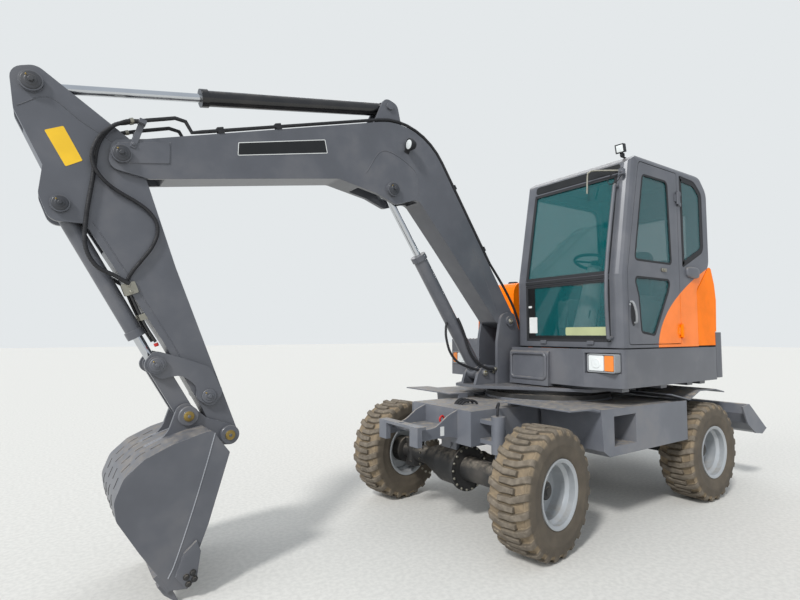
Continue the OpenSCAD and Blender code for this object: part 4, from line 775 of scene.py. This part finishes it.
class MakeCabTrim(bpy.types.Operator):
    """Window seals, prints, handle, latch, lamps and the wire handle of the cab"""

    bl_idname = "excavator.make_cab_trim"
    bl_label = "Make the Cab's Trim"

    def execute(self, context):
        seals = [rim(side_plane, soften(rows), 17, SIDE_GLASS, 926) for rows in (UPPER_WINDOW, LOWER_WINDOW)]
        piece("door_window_seals", seals, "cab_door", *TRIM, bevel=1.5)
        seals = [
            rim(side_plane, soften(QUARTER_WINDOW), 46, SIDE_GLASS, 922),
            rim(side_plane, soften(RIGHT_WINDOW), 24, -111, -102.4),
            band(front_plane, (0, 825, 1383, 1865, 24), 22, 242.4, 249),
            band(leaning_plane, (0, 825, 1905, 2705, 24), 26, -6.0, 1.5),
            band(front_plane, (60, 760, 2130, 2560, 24), 20, -1113, -1104.4),
        ]
        piece("cab_window_seals", seals, "upper", *TRIM, bevel=1.5)
        # Bar between the two screens, and the dark glossy band between the windscreen's head and the roof
        piece("screen_bar", plate(front_plane, (6, 819, 1872, 1900, 8), 248, 262), "upper", *TRIM, bevel=3)
        piece("roof_visor", plate(leaning_plane, (8, 846, 2716, 2786, 26), -1, 4), "upper", *PRINT, bevel=2)
        # Dark panels along the foot and the right edge of the low screen
        foot = [plate(front_plane, (24, 801, 1386, 1432, 6), LOW_GLASS, 246),
                plate(front_plane, (24, 96, 1400, 1850, 6), LOW_GLASS, 244.5)]
        piece("screen_print", foot, "upper", *PRINT)
        # Rubber mat that the cab stands on, in the 10 mm gap over the skirt
        piece("cab_mat", block([-1100, -96, 1330.2], [236, 912, 1339.8]), "upper", *TRIM)
        tabs = [plate(front_plane, (y, y + 60, 1362, 1392, 6), 249, 262) for y in (160, 620)]
        piece("screen_tabs", tabs, "upper", *PAINT, bevel=2)
        labels = [plate(front_plane, (*r, 3), 244.6, 245.2) for r in ((30, 118, 1452, 1590), (24, 60, 1672, 1690))]
        piece("blank_screen_labels", labels, "upper", *WHITE)
        film = plate(front_plane, (410, 800, 1434, 1500, 12), LOW_GLASS, 243.2)
        piece("screen_film", film, "upper", "cab_trim", "Pale yellow film")
        # Dished pull of the door with its key button, and the latch under the upper window
        angle = np.linspace(0, 2 * np.pi, 40, endpoint=False)
        oval = np.c_[106 + 34 * np.cos(angle), 1602 + 96 * np.sin(angle)]
        piece("door_pull_dish", slab(side_plane, oval, CAB_SIDE, 927.5), "cab_door", *TRIM, bevel=1.5)
        pull = smooth_path([[140, 925, 1690], [136, 946, 1680], [116, 955, 1610], [98, 946, 1540], [94, 925, 1530]], 6)
        key = lathe([[0, 0], [9, 0], [9, 5], [6, 7], [0, 7]], [150, 925, 1668], (0, 1, 0), 16)
        piece("door_pull", [tube(pull, 9, 12, (1, 0, 0)), key], "cab_door", "grey_paint", "Pale grey trim")
        latch = [plate(side_plane, (-380, -310, 1950, 1978, 6), CAB_SIDE, 936),
                 plate(side_plane, (-366, -330, 1955, 1973, 4), 935, 942)]
        piece("door_latch", latch, "cab_door", "cab_trim", "Zinc plated steel", bevel=2)
        # Bulged cover over the joint of quarter panel and rear body
        bulge = pillow(np.array([-806.0, 925, 1972]), (104, 30, 50), 0.62)
        piece("air_intake_cover", bulge, "upper", *PAINT, angle=80)
        # Wire handle over the screen, and the cable to the roof lamp
        wire = smooth_path([[176, 597, 2586], [176, 606, 2735], [172, 625, 2758], [165, 660, 2762],
                            [140, 880, 2712]], 8)
        loop = smooth_path([[120, 880, 2740], [140, 850, 2716], [156, 800, 2690], [150, 770, 2650], [150, 790, 2622],
                            [146, 842, 2632], [128, 870, 2676]], 8)
        piece("wire_handle", tube(wire, 7, 10, (1, 0, 0)), "upper", *ZINC)
        piece("roof_lamp_lead", tube(loop, 3.5, 8, (1, 0, 0)), "upper", "hose", "Spiral wrapped hose")
        pad = [plate(front_plane, (862, 902, 2680, 2726, 6), 120, 152), *bolt([152, 882, 2702], (1, 0, 0), 18)]
        piece("wire_handle_bracket", pad, "upper", *PAINT, bevel=2)
        # Square roof lamp: its shell and its lens are turned shapes with four sides
        shell, lens = (
            lathe(profile, [22, 810, 2930], (0.96, 0.1, -0.25), 4, np.pi / 4)
            for profile in ([[0, -46], [30, -44], [46, -20], [50, 18], [52, 26], [44, 28], [42, 22], [0, 22]],
                            [[0, 20], [40, 21], [38, 26], [0, 31]])
        )
        stem = [block([-70, 800, 2862.4], [20, 820, 2868]), plate(side_plane, (-20, 30, 2866, 2900, 8), 803, 817)]
        top = piece("roof_lamp_shell", [shell, *stem], "upper", *TRIM, bevel=4)
        piece("roof_lamp_lens", lens, "upper", *LENS, bevel=3)
        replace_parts(top, "lamps")
        # The two working lamps in front: their rooms, and where the clear and the amber lens meet
        rooms = ((662, 898, 1155, 1295, 246, 322, 805), (-900, -700, 1150, 1270, 330.5, 346, -830))
        bezels, backs, clear, amber = [], [], [], []
        for y0, y1, z0, z1, x0, x1, split in rooms:
            bezels.append(band(front_plane, (y0, y1, z0, z1, 14), 9, x0, x1))
            backs.append(plate(front_plane, (y0 + 4, y1 - 4, z0 + 4, z1 - 4, 10), x0, x1 - 12))
            outer = (split + 4, y1 - 12) if y0 > 0 else (y0 + 12, split - 4)
            inner = (y0 + 12, split - 2) if y0 > 0 else (split + 2, y1 - 12)
            clear.append(plate(front_plane, (*inner, z0 + 12, z1 - 12, 10), x1 - 13, x1 - 2))
            amber.append(plate(front_plane, (*outer, z0 + 12, z1 - 12, 10), x1 - 13, x1 - 1))
            middle = np.array([x1 - 2.2, np.mean(inner), (z0 + z1) / 2])
            clear.append(lathe([[0, 0], [42, 0], [34, 4], [26, 2], [14, 4], [0, 5]], middle, (1, 0, 0), 24))
        piece("headlamp_bezels", bezels + backs, "upper", "lamp", "Pale grey trim", bevel=2)
        piece("headlamp_lenses", clear, "upper", *LENS, bevel=3)
        piece("turn_lenses", amber, "upper", "lamp", "Amber lens", bevel=3)
        return {"FINISHED"}


class MakeCabInside(bpy.types.Operator):
    """Seat, steering wheel and controls that show through the glass"""

    bl_idname = "excavator.make_cab_inside"
    bl_label = "Make the Cab's Inside"

    def execute(self, context):
        base = [block([-600, 310, 1388], [-260, 610, 1420]), block([-560, 340, 1418], [-300, 580, 1560]),
                plate(side_plane, (-630, -180, 1562, 1600, 16), 250, 670)]
        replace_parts(piece("seat_base", base, "upper", *TRIM, bevel=8), "seat")
        # Middle of the back, 250 mm up a line that leans 10 degrees
        lean = 250 * way(100)
        middle = np.array([-560 + lean[0], 460, 1680 + lean[1]])
        for name, part in (
            ("seat_cushion", pillow(np.array([-400.0, 460, 1640]), (228, 222, 48), 0.3, crown=0.25)),
            ("seat_back", pillow(middle + [-4, 0, 14], (246, 216, 50), 0.3, -80.0, 0.2)),
        ):
            piece(name, part, "upper", "seat_cover", "Woven cushion cloth", angle=80)
        column = lathe([[0, 0], [120, 0], [108, 60], [84, 300], [70, 520], [58, 640], [0, 644]],
                       [58, 452, 1390], (-0.21, 0.045, 1), 32)
        boot = lathe([[0, 0], [150, 0], [140, 26], [122, 34], [0, 34]], [58, 452, 1386], (0, 0, 1), 32)
        piece("steering_column", [column, boot], "upper", "cab_trim", "Light column trim", bevel=2)
        # Steering wheel: its rim is a circle of radius 13 carried round one of radius 172
        a = np.linspace(0, 2 * np.pi, 48, endpoint=False)
        b = np.linspace(0, 2 * np.pi, 12, endpoint=False)
        u, v, w = frame_of((-0.32, 0, 1))
        ring = np.cos(a)[:, None, None] * u + np.sin(a)[:, None, None] * v
        hub = np.array([-84.0, 484, 2052])
        wheel = hub + (172 + 13 * np.cos(b)[None, :, None]) * ring + 13 * np.sin(b)[None, :, None] * w
        spokes = [tube(hub + np.outer(np.linspace(10, 168, 6), np.cos(t) * u + np.sin(t) * v), 9, 8, w)
                  for t in (0.5, 2.6, 4.7)]
        boss = lathe([[0, -30], [34, -26], [40, 0], [30, 12], [0, 14]], hub, w, 24)
        parts = [(wheel.reshape(-1, 3), net(48, 12, True, True)), boss, *spokes]
        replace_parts(piece("steering_wheel", parts, "upper", *TRIM), "controls")
        consoles, levers = [], []
        side_box = soften([[-560, 1388, 20], [-90, 1388, 30], [-80, 1740, 40], [-170, 1762, 30], [-560, 1690, 40]])
        for y in (130, 775):
            consoles.append(slab(side_plane, side_box, y - 52, y + 52))
            consoles.append(plate(side_plane, (-520, -250, 1730, 1762, 14), y - 36, y + 36))
            grip = [[0, 0], [34, 2], [26, 30], [10, 46], [9, 80], [18, 96], [21, 140], [17, 172], [8, 182], [0, 184]]
            levers.append(lathe(grip, [-130, y, 1740], (0.15, 0, 1), 18))
        for y in (300, 380, 520, 600):
            rod = smooth_path([[120, y, 1390], [110, y, 1450], [90, y, 1560], [70, y + 6, 1640]])
            levers.append(tube(rod, 7, 8))
            levers.append(plate(front_plane, (y - 34, y + 34, 1400, 1500, 10), 126, 138))
        piece("side_consoles", consoles, "upper", "cab_trim", "Pale grey trim", bevel=6)
        piece("levers_and_pedals", levers, "upper", *TRIM, bevel=2)
        return {"FINISHED"}


class MakePins(bpy.types.Operator):
    """Caps, bolts and grease nipples of the working arm's pins"""

    bl_idname = "excavator.make_pins"
    bl_label = "Make the Pins"

    def execute(self, context):
        horn, guide, link_pin = arm_at(198, 379), arm_at(1499, 27), bucket_at(BUCKET_PINS, 0)
        # Pin where the guides meet the tipping link, from the two lengths and the distance between their feet
        d = np.linalg.norm(link_pin - guide)
        w = (link_pin - guide) / d
        along = (GUIDE_LEN**2 - LINK_LEN**2 + d**2) / (2 * d)
        top = guide + along * w + np.sqrt(GUIDE_LEN**2 - along**2) * np.array([-w[2], 0, w[0]])
        # Pin: name, body, place, distance to its face, radius of its cap, finish
        rows = (
            ("arm_pivot", "main_boom", boom_at(BOOM_LEN, 0), 132.2, 46, "Dark pin enamel"),
            ("boom_rod", "main_boom", boom_at(1482, 620), 128.2, 48, "Dark pin enamel"),
            ("arm_head", "dipper", arm_at(-451, 289), 103.2, 48, "Dark pin enamel"),
            ("horn", "dipper", horn, 100.2, 40, "Dark pin enamel"),
            ("guide", "dipper", guide, 112.2, 44, "Grey enamel"),
            ("link_top", "tipping_guides", top, 128.2, 42, "Grey enamel"),
            ("boom_foot", "upper", boom_at(0, 0), 151.2, 27, "Zinc plated steel"),
            ("boom_barrel", "upper", np.array([607.0, BOOM_Y, 1108]), 108.2, 27, "Zinc plated steel"),
            ("bucket_foot", "digging_bucket", arm_at(ARM_LEN, 0), 130.2, 34, "Grey enamel"),
            ("bucket_link", "digging_bucket", link_pin, 130.2, 34, "Grey enamel"),
        )
        for name, body, at, reach, r, finish in rows:
            parts, small = [], []
            cap = [[0, 0], [r, 0], [r, 3], [r - 3, 6], [r * 0.62, 8], [r * 0.56, 11], [0, 12]]
            for side in (1, -1):
                face, out = at + [0, side * reach, 0], (0, side, 0)
                parts.append(lathe(cap, face, out, 32))
                parts += bolt(face + [0, side * 11, 0], out, r * 0.62, False)
                nipple = face + [r * 0.66 * 0.7, side * 6, r * 0.66 * 0.7]
                small.append(lathe([[0, 0], [4.5, 0], [4.5, 5], [2.5, 7], [3.4, 12], [0, 14]], nipple, out, 10))
                if name.startswith("bucket"):
                    # Collar between the ear and the pin's end, with a greasy yellow centre
                    parts.append(lathe([[26, -20.4], [58, -20.4], [58, 0], [54, 4], [26, 4]], face, out, 36))
                    small.append(lathe([[0, 6], [30, 6], [30, 12], [26, 14], [0, 14]], face, out, 24))
            piece("pin_caps_" + name, parts, body, "cylinder_paint", finish, bevel=0.8)
            piece("grease_nipple_" + name, small, body, "chrome", "Brass fitting")
        # Inner end of the bucket cylinder's rod, which its barrel hides until the bucket curls
        rod = (top - horn) / np.linalg.norm(top - horn)
        inner = lathe([[0, 0], [25, 0], [27.3, 3], [27.3, 390], [0, 390]], horn + 118 * rod, rod, 48)
        piece("bucket_rod_inner", inner, "bucket_piston", "chrome", "Hard chrome")
        return {"FINISHED"}


class MakeArmFittings(bpy.types.Operator):
    """Weld beads, blank plates, hose clamps and the valve of the boom and arm"""

    bl_idname = "excavator.make_arm_fittings"
    bl_label = "Make the Arm's Fittings"

    def execute(self, context):
        # Weld beads: body, place function, distance to the face, and the corners of each line
        for body, place, face, lines in (
            ("main_boom", boom_at, BOOM_SIDE, ([[2997, 67], [3038, 193]],
                                               [[1240, 690], [1330, 860], [1640, 880], [1740, 640]],
                                               [[150, 40], [330, 250], [560, 470]])),
            ("dipper", arm_at, ARM_SIDE, ([[-339, 393], [-363, 237], [-217, 128], [-40, -20]],
                                          [[330, 262], [1100, 112], [1500, 66]])),
        ):
            beads = [weld_bead(place, line, side * face, 3.0, 0.7) for line in lines for side in (1, -1)]
            piece("weld_beads_" + body, beads, body, *PAINT, angle=80)
        # Plates on both sides: outline, and the two distances from the middle of the boom or arm
        tip = soften([[3290, 56, 10], [3038, 190, 20], [3000, 66, 10], [3240, -50, 20]])
        plaque = soften([[2650, 306, 8], [2672, 392, 8], [2120, 716, 8], [2072, 628, 8]])
        yellow = soften([[-196, 316, 6], [-204, 222, 6], [-6, 196, 6], [10, 286, 6]])
        tips = [slab(boom_at, tip, s * BOOM_SIDE - 4, s * BOOM_SIDE + 5) for s in (1, -1)]
        piece("boom_tip_plates", tips, "main_boom", *PAINT, bevel=2)
        plaques = [slab(boom_at, plaque, s * BOOM_SIDE, s * BOOM_SIDE + s * 1.5) for s in (1, -1)]
        piece("blank_boom_plaque", plaques, "main_boom", *PRINT)
        edges = [rim(boom_at, plaque, 5, s * 103.2, s * 104.8) for s in (1, -1)]
        piece("blank_plaque_edge", edges, "main_boom", *WHITE)
        blanks = [slab(arm_at, yellow, s * ARM_SIDE, s * 79.5) for s in (1, -1)]
        piece("blank_yellow_plate", blanks, "dipper", "cab_trim", "Blank yellow plate")
        # Working lamp on the boom's side
        at = boom_at(1455, 1015, 104) + [0, 52, 0]
        ahead = np.array([way(BOOM_ANGLE - 20)[0], 0, way(BOOM_ANGLE - 20)[1]])
        shell = lathe([[0, -40], [30, -36], [46, -4], [48, 20], [40, 22], [38, 17], [0, 17]], at, ahead, 24)
        stay = [plate(boom_at, (1420, 1470, 960, 1010, 8), 102, 107),
                plate(boom_at, (1436, 1454, 975, 1010, 5), 104, 150)]
        piece("boom_lamp_shell", [shell, *stay], "main_boom", "lamp", "Moulded trim", bevel=2)
        lens = lathe([[0, 16], [38, 16], [36, 21], [20, 24], [0, 25]], at, ahead, 24)
        piece("boom_lamp_lens", lens, "main_boom", *LENS)
        # Clamps that carry the jumper hoses, each on its own stay so that the arm's head swings between them
        up = (way(BOOM_ANGLE + 90)[0], 0, way(BOOM_ANGLE + 90)[1])
        bar = []
        for side, y0, y1 in ((1, 84, 142), (-1, -122, -84)):
            bar.append(plate(boom_at, (3190, 3232, 214, 240, 6), y0, y1))
            bar.append(plate(boom_at, (3194, 3228, 62, 226, 6), *sorted((side * 107, side * 113))))
            bar += bolt(boom_at(3211, 240, side * BOOM_SIDE), up, 20)
            bar += bolt(boom_at(3211, 84, side * 113), (0, side, 0), 18)
        piece("hose_bar", bar, "main_boom", *PAINT, bevel=2)
        collars = [tube(boom_at([3256, 3262.4, 3271], [212.5, 207.7, 201], y), 15, 16) for y in (95, -95, 125)]
        piece("hose_collars", collars, "main_boom", *ZINC, angle=50)
        stub = tube(boom_at([3205, 3226, 3262.4], [231, 227, 207.7], 125), 9, 12)
        piece("face_hose_pipe", stub, "main_boom", "hose", "Glossy black enamel", angle=50)
        # Hard lines down the arm, from the hoses' ends to the bucket cylinder
        lines, clamps = [], []
        for y in (62, -62):
            run = smooth_path(arm_at([640, 700, 780, 960, 1080], [208, 208, 218, 208, 188], y), 10)
            lines.append(tube(run, 9, 12))
            clamps.append(plate(arm_at, (900, 936, 176, 222, 6), y - 14, y + 14))
        piece("arm_lines", lines, "dipper", "hose", "Glossy black enamel", angle=60)
        valve = [plate(arm_at, (706, 776, 176, 252, 8), 52, 92)]
        valve += [part for u in (722, 760) for part in bolt(arm_at(u, 214, 92), (0, 1, 0), 16)]
        piece("arm_valve", valve + clamps, "dipper", *ZINC, bevel=2)
        down = arm_at(1, 0) - arm_at(0, 0)
        cap = lathe([[0, 0], [13, 0], [13, 16], [10, 20], [0, 20]], arm_at(1087, 190, 62), down, 16)
        piece("red_cap", cap, "dipper", "hose", "Red plastic")
        return {"FINISHED"}


# Outline of the bucket's back from its mouth, as in the frame: place, height, radius
BUCKET_BACK = [[28, -79, 0], [180, -12, 24], [216, -40, 0], [338, -162, 60], [427, -282, 90], [468, -400, 90],
               [450, -520, 90], [389, -599, 60], [204, -704, 200], [20, -798, 0], [-45, -829, 0]]


class MakeBucketFittings(bpy.types.Operator):
    """Weld beads, slits and bolted side cutters of the bucket"""

    bl_idname = "excavator.make_bucket_fittings"
    bl_label = "Make the Bucket's Fittings"

    def execute(self, context):
        edge = [[159, -17], [117, -179], [62, -414], [7, -688], [-1, -778]]
        ear = [[215, -39], [250, -72], [300, -122], [337, -163], [372, -208], [405, -252]]
        beads = [weld_bead(bucket_at, edge, side * BUCKET_SIDE, 3.4, 0.8) for side in (1, -1)]
        beads += [weld_bead(bucket_at, ear, side * 86 + foot * 13, 3.4, 0.8) for side in (1, -1) for foot in (1, -1)]
        # The bucket's weld beads take a grey paler than its paint, as a painted highlight
        piece("weld_beads_bucket", beads, "digging_bucket", "grey_paint", "Weld paint with painted highlight", angle=80)
        heads = [part for side in (1, -1) for u, v in ((-83, -742), (-105, -712), (-130, -738), (-112, -770))
                 for part in bolt(bucket_at(u, v, side * (BUCKET_SIDE + 14)), (0, side, 0), 26)]
        piece("cutter_bolts", heads, "digging_bucket", "grey_paint", "Cast iron paint", bevel=0.8)
        # Rows of short slits round the back, 58 mm long and 30 mm apart
        slits = []
        curve = soften(BUCKET_BACK)
        run = np.concatenate([[0], np.cumsum(np.hypot(*np.diff(curve, axis=0).T))])
        for number, y in enumerate((-210, -70, 70, 210)):
            for k in range(7):
                at = np.linspace(0, 58, 8) + 395 + 88 * k + 22 * (number % 2)
                u, v = (np.interp(at, run, values) for values in curve.T)
                slits.append(tube(bucket_at(u, v, y), 2.6, 8))
        piece("bucket_slits", slits, "digging_bucket", "grey_paint", "Cast iron paint", angle=80)
        return {"FINISHED"}


class MakeBodyFittings(bpy.types.Operator):
    """Grilles, handles, lamps, caps and rails of the rear and right body"""

    bl_idname = "excavator.make_body_fittings"
    bl_label = "Make the Body's Fittings"

    def execute(self, context):
        # Embossed frame on the cover in front of the deck
        piece("deck_cover_frame", band(front_plane, (-78, 318, 1062, 1296, 46), 24, 370, 389), "upper", *PAINT, bevel=7)
        grilles = []
        for side in (1, -1):
            grilles += louvres(side_plane, (-1545, -1290, 1520, 1830), side * 740, side, 9)
        grilles += louvres(hood_plane, (-560, 560, 70, 350), 0, 1, 9)
        piece("hood_grilles", grilles, "engine_hood", *TRIM)
        vents = louvres(side_plane, (-1090, -800, 1500, 1860), -925, -1, 11)
        vents += louvres(side_plane, (-700, -400, 1500, 1860), -925, -1, 11)
        piece("right_vents", vents, "upper", *TRIM)
        seams = [band(side_plane, (*ends, 1120, 1920, 40), 4, -925.8, -CAB_SIDE)
                 for ends in ((-1130, -760), (-745, -70))]
        piece("right_door_seams", seams, "upper", *PRINT)
        pulls = [plate(side_plane, (x - 22, x + 22, 1380, 1470, 16), -931, -CAB_SIDE) for x in (-800, -110)]
        keys = [lathe([[0, 0], [11, 0], [11, 4], [7, 6], [0, 6]], [x, -931, 1446], (0, -1, 0), 16)
                for x in (-800, -110)]
        piece("right_latches", pulls, "upper", *TRIM, bevel=2)
        piece("right_keys", keys, "upper", *ZINC)
        bow = ((-120, 26, -2), (-118, 26, 26), (-90, 26, 34), (90, 26, 34), (118, 26, 26), (120, 26, -2))
        grip = smooth_path([hood_plane(*spot) for spot in bow], 8)
        piece("hood_handle", tube(grip, 8, 10, (0.2, 0, 1)), "engine_hood", "cab_trim", "Glossy black enamel", angle=60)
        # Exhaust outlet on the hood, with its dark mouth
        outlet = lathe([[46, -20], [46, 4], [37, 8], [36, 76], [40, 80], [33, 82], [31, 70], [30, -20]],
                       [-1420, -480, 1948], (-0.35, 0, 1), 28)
        piece("exhaust_outlet", outlet, "engine_hood", "cab_trim", "Cast iron paint", angle=50)
        shells, lamps = [], []
        for y0, y1 in ((400, 520), (-520, -400)):
            shells.append(band(front_plane, (y0, y1, 1245, 1315, 12), 8, -1580, -1624))
            shells.append(plate(front_plane, (y0 + 3, y1 - 3, 1248, 1312, 10), -1580, -1612))
            lamps.append(plate(front_plane, (y0 + 10, y1 - 10, 1255, 1305, 8), -1610, -1622))
        piece("tail_lamp_shells", shells, "upper", "lamp", "Moulded trim", bevel=2)
        piece("tail_lamp_lenses", lamps, "upper", "lamp", "Red plastic", bevel=3)
        cap = [[0, 24], [46, 24], [52, 18], [52, 2], [70, 0], [70, -12], [0, -12]]
        piece("filler_cap", lathe(cap, [-330, -690, 1974], (0.03, 0, 1), 24), "upper", *TRIM, bevel=2)
        # Tread plate on the right front box, with studs 45 mm apart
        tread = [plate(front_plane, (-900, -455, 1391, 1395, 1), 5, 305)]
        tread += [lathe([[0, 4], [5, 4], [8, 0], [9, 0]], [x, y, 1394.8], (0, 0, 1), 8)
                  for x in range(30, 300, 45) for y in range(-875, -470, 45)]
        piece("tread_plate", tread, "upper", *PAINT, angle=50)
        hatch = plate(top_plane, (-780, -230, 170, 650, 50), 2858, 2872)
        piece("roof_hatch", hatch, "upper", "grey_paint", "Cab enamel", bevel=6)
        # The door's two hinges, each painted as the panel that it sits on
        for name, z, finish in (("high", 2590, "Grey enamel"), ("low", 1470, "Orange enamel")):
            barrel = lathe([[0, -52], [13, -52], [13, 52], [0, 52]], [-590, 934, z], (0, 0, 1), 16)
            leaf = plate(side_plane, (-640, -596, z - 44, z + 44, 8), 922, 934)
            piece("door_hinge_" + name, [barrel, leaf], "upper", "grey_paint", finish, bevel=2)
        return {"FINISHED"}


class MakeFootHoses(bpy.types.Operator):
    """Hoses between the deck, the boom and the boom's cylinder"""

    bl_idname = "excavator.make_foot_hoses"
    bl_label = "Make the Foot Hoses"

    def execute(self, context):
        foot = [[84, 1090], [88, 1200], [112, 1350], [150, 1500], [214, 1650], [300, 1790], [408, 1928], [534, 2073]]
        for name, y in (("foot_hose_right", -95), ("foot_hose_left", 95)):
            hose(name, [[x, BOOM_Y + y, z] for x, z in foot], 11.4, 24, "upper", "main_boom")
        upper = [[508, -146, 1138], [560, -150, 1142], [640, -168, 1172], [716, -186, 1236], [770, -191, 1318],
                 [812, -191, 1430], [862, -191, 1532], [885, -200, 1580]]
        lower = [[508, -172, 1112], [600, -186, 1118], [730, -206, 1152], [860, -222, 1204], [940, -232, 1290],
                 [976, -240, 1410], [975, -246, 1490], [962, -250, 1545]]
        hose("cylinder_hose", upper, 11.4, 24, "upper", "boom_cylinder")
        hose("cylinder_hose_front", lower, 10.4, 22, "upper", "boom_cylinder")
        ends = [lathe([[0, 0], [17, 0], [17, 22], [14, 26], [0, 26]], [486, y, z], (1, 0, 0), 6)
                for y, z in ((-146, 1138), (-172, 1112))]
        piece("deck_fitting", ends, "upper", *ZINC, bevel=1)
        return {"FINISHED"}


class MakeChassisFittings(bpy.types.Operator):
    """Bolts, hook, hoses, labels and wheel nuts of the chassis"""

    bl_idname = "excavator.make_chassis_fittings"
    bl_label = "Make the Chassis Fittings"

    def execute(self, context):
        heads = []
        for t in np.radians(np.arange(0, 360, 12.0)):
            heads += bolt([522 * np.cos(t), 522 * np.sin(t), 911], (0, 0, 1), 24)
        piece("slew_ring_bolts", heads, "chassis", *ZINC)
        flange = []
        for t in np.radians(np.arange(0, 360, 20.0)):
            for r, y, side, width in ((160, 122, 1, 20), (132, -331, -1, 18)):
                flange += bolt([AXLE_X + r * np.cos(t), y, AXLE_Z + r * np.sin(t)], (0, side, 0), width, False)
        piece("axle_flange_bolts", flange, "chassis", "axle_paint", "Zinc plated steel")
        hook = smooth_path([[1255, 70, 752], [1258, 70, 800], [1276, 70, 828], [1300, 70, 812], [1296, 70, 786]], 6)
        piece("red_hook", tube(hook, 8, 10), "chassis", "cab_trim", "Red plastic", angle=60)
        piece("blank_chassis_labels", plate(side_plane, (1368, 1404, 712, 778, 3), 201, 202), "chassis", *WHITE)
        runs = [[[930, y, 878], [938, y, 904], [980, y + side * 0.4, 922], [1046, y + side, 908], [1070, y + side, 878]]
                for y, side in ((-60, 30), (-20, 10), (30, -10), (80, -30))]
        runs.append([[1100, 470, 858], [1092, 468, 912], [1052, 440, 940], [1000, 380, 928], [968, 330, 886]])
        hoses = [tube(smooth_path(places, 8), 9, 12) for places in runs]
        piece("box_hoses", hoses, "chassis", "hose", "Spiral wrapped hose", angle=60)
        for name in WHEELS:
            centre, ahead, out = wheel_place(name)
            parts = []
            for t in np.linspace(0, 2 * np.pi, 10, endpoint=False):
                ring = np.cos(t) * ahead + np.sin(t) * np.array([0, 0, 1.0])
                parts += bolt(centre + 88 * ring - 26 * out, out, 27)
            hub = [[0, 0], [60, 0], [60, 3], [54, 9], [30, 13], [26, 19], [0, 20]]
            parts.append(lathe(hub, centre + 34 * out, out, 32))
            piece("wheel_nuts_" + name, parts, "wheel_" + name, "axle_paint", "Cast iron paint", bevel=0.8)
            stem = [[0, 0], [5, 0], [5, 26], [6.5, 28], [6.5, 38], [0, 39]]
            valve = lathe(stem, centre + 160 * ahead + 60 * out, out, 10)
            piece("tyre_valve_" + name, valve, "wheel_" + name, "chrome", "Brass fitting")
        return {"FINISHED"}


STEPS = (FinishFrame, SetStage, MakeTyres, MakeHoses, MakeCabTrim, MakeCabInside, MakePins, MakeArmFittings,
         MakeBucketFittings, MakeBodyFittings, MakeFootHoses, MakeChassisFittings)


class ExcavatorPanel(bpy.types.Panel):
    """Lists the steps that dress the machine"""

    bl_idname = "VIEW3D_PT_excavator"
    bl_label = "Excavator"
    bl_space_type = "VIEW_3D"
    bl_region_type = "UI"
    bl_category = "Excavator"

    def draw(self, context):
        for step in STEPS:
            self.layout.operator(step.bl_idname)


CLASSES = (ExcavatorColours, ExcavatorSizes, *STEPS, ExcavatorPanel)


def register():
    for entry in CLASSES:
        bpy.utils.register_class(entry)
    bpy.types.Scene.excavator_colours = bpy.props.PointerProperty(type=ExcavatorColours)
    bpy.types.Scene.excavator_sizes = bpy.props.PointerProperty(type=ExcavatorSizes)


def unregister():
    del bpy.types.Scene.excavator_colours
    del bpy.types.Scene.excavator_sizes
    for entry in reversed(CLASSES):
        bpy.utils.unregister_class(entry)


def main():
    register()
    for step in STEPS:
        group, call = step.bl_idname.split(".")
        getattr(getattr(bpy.ops, group), call)()


if __name__ == "__main__":
    main()
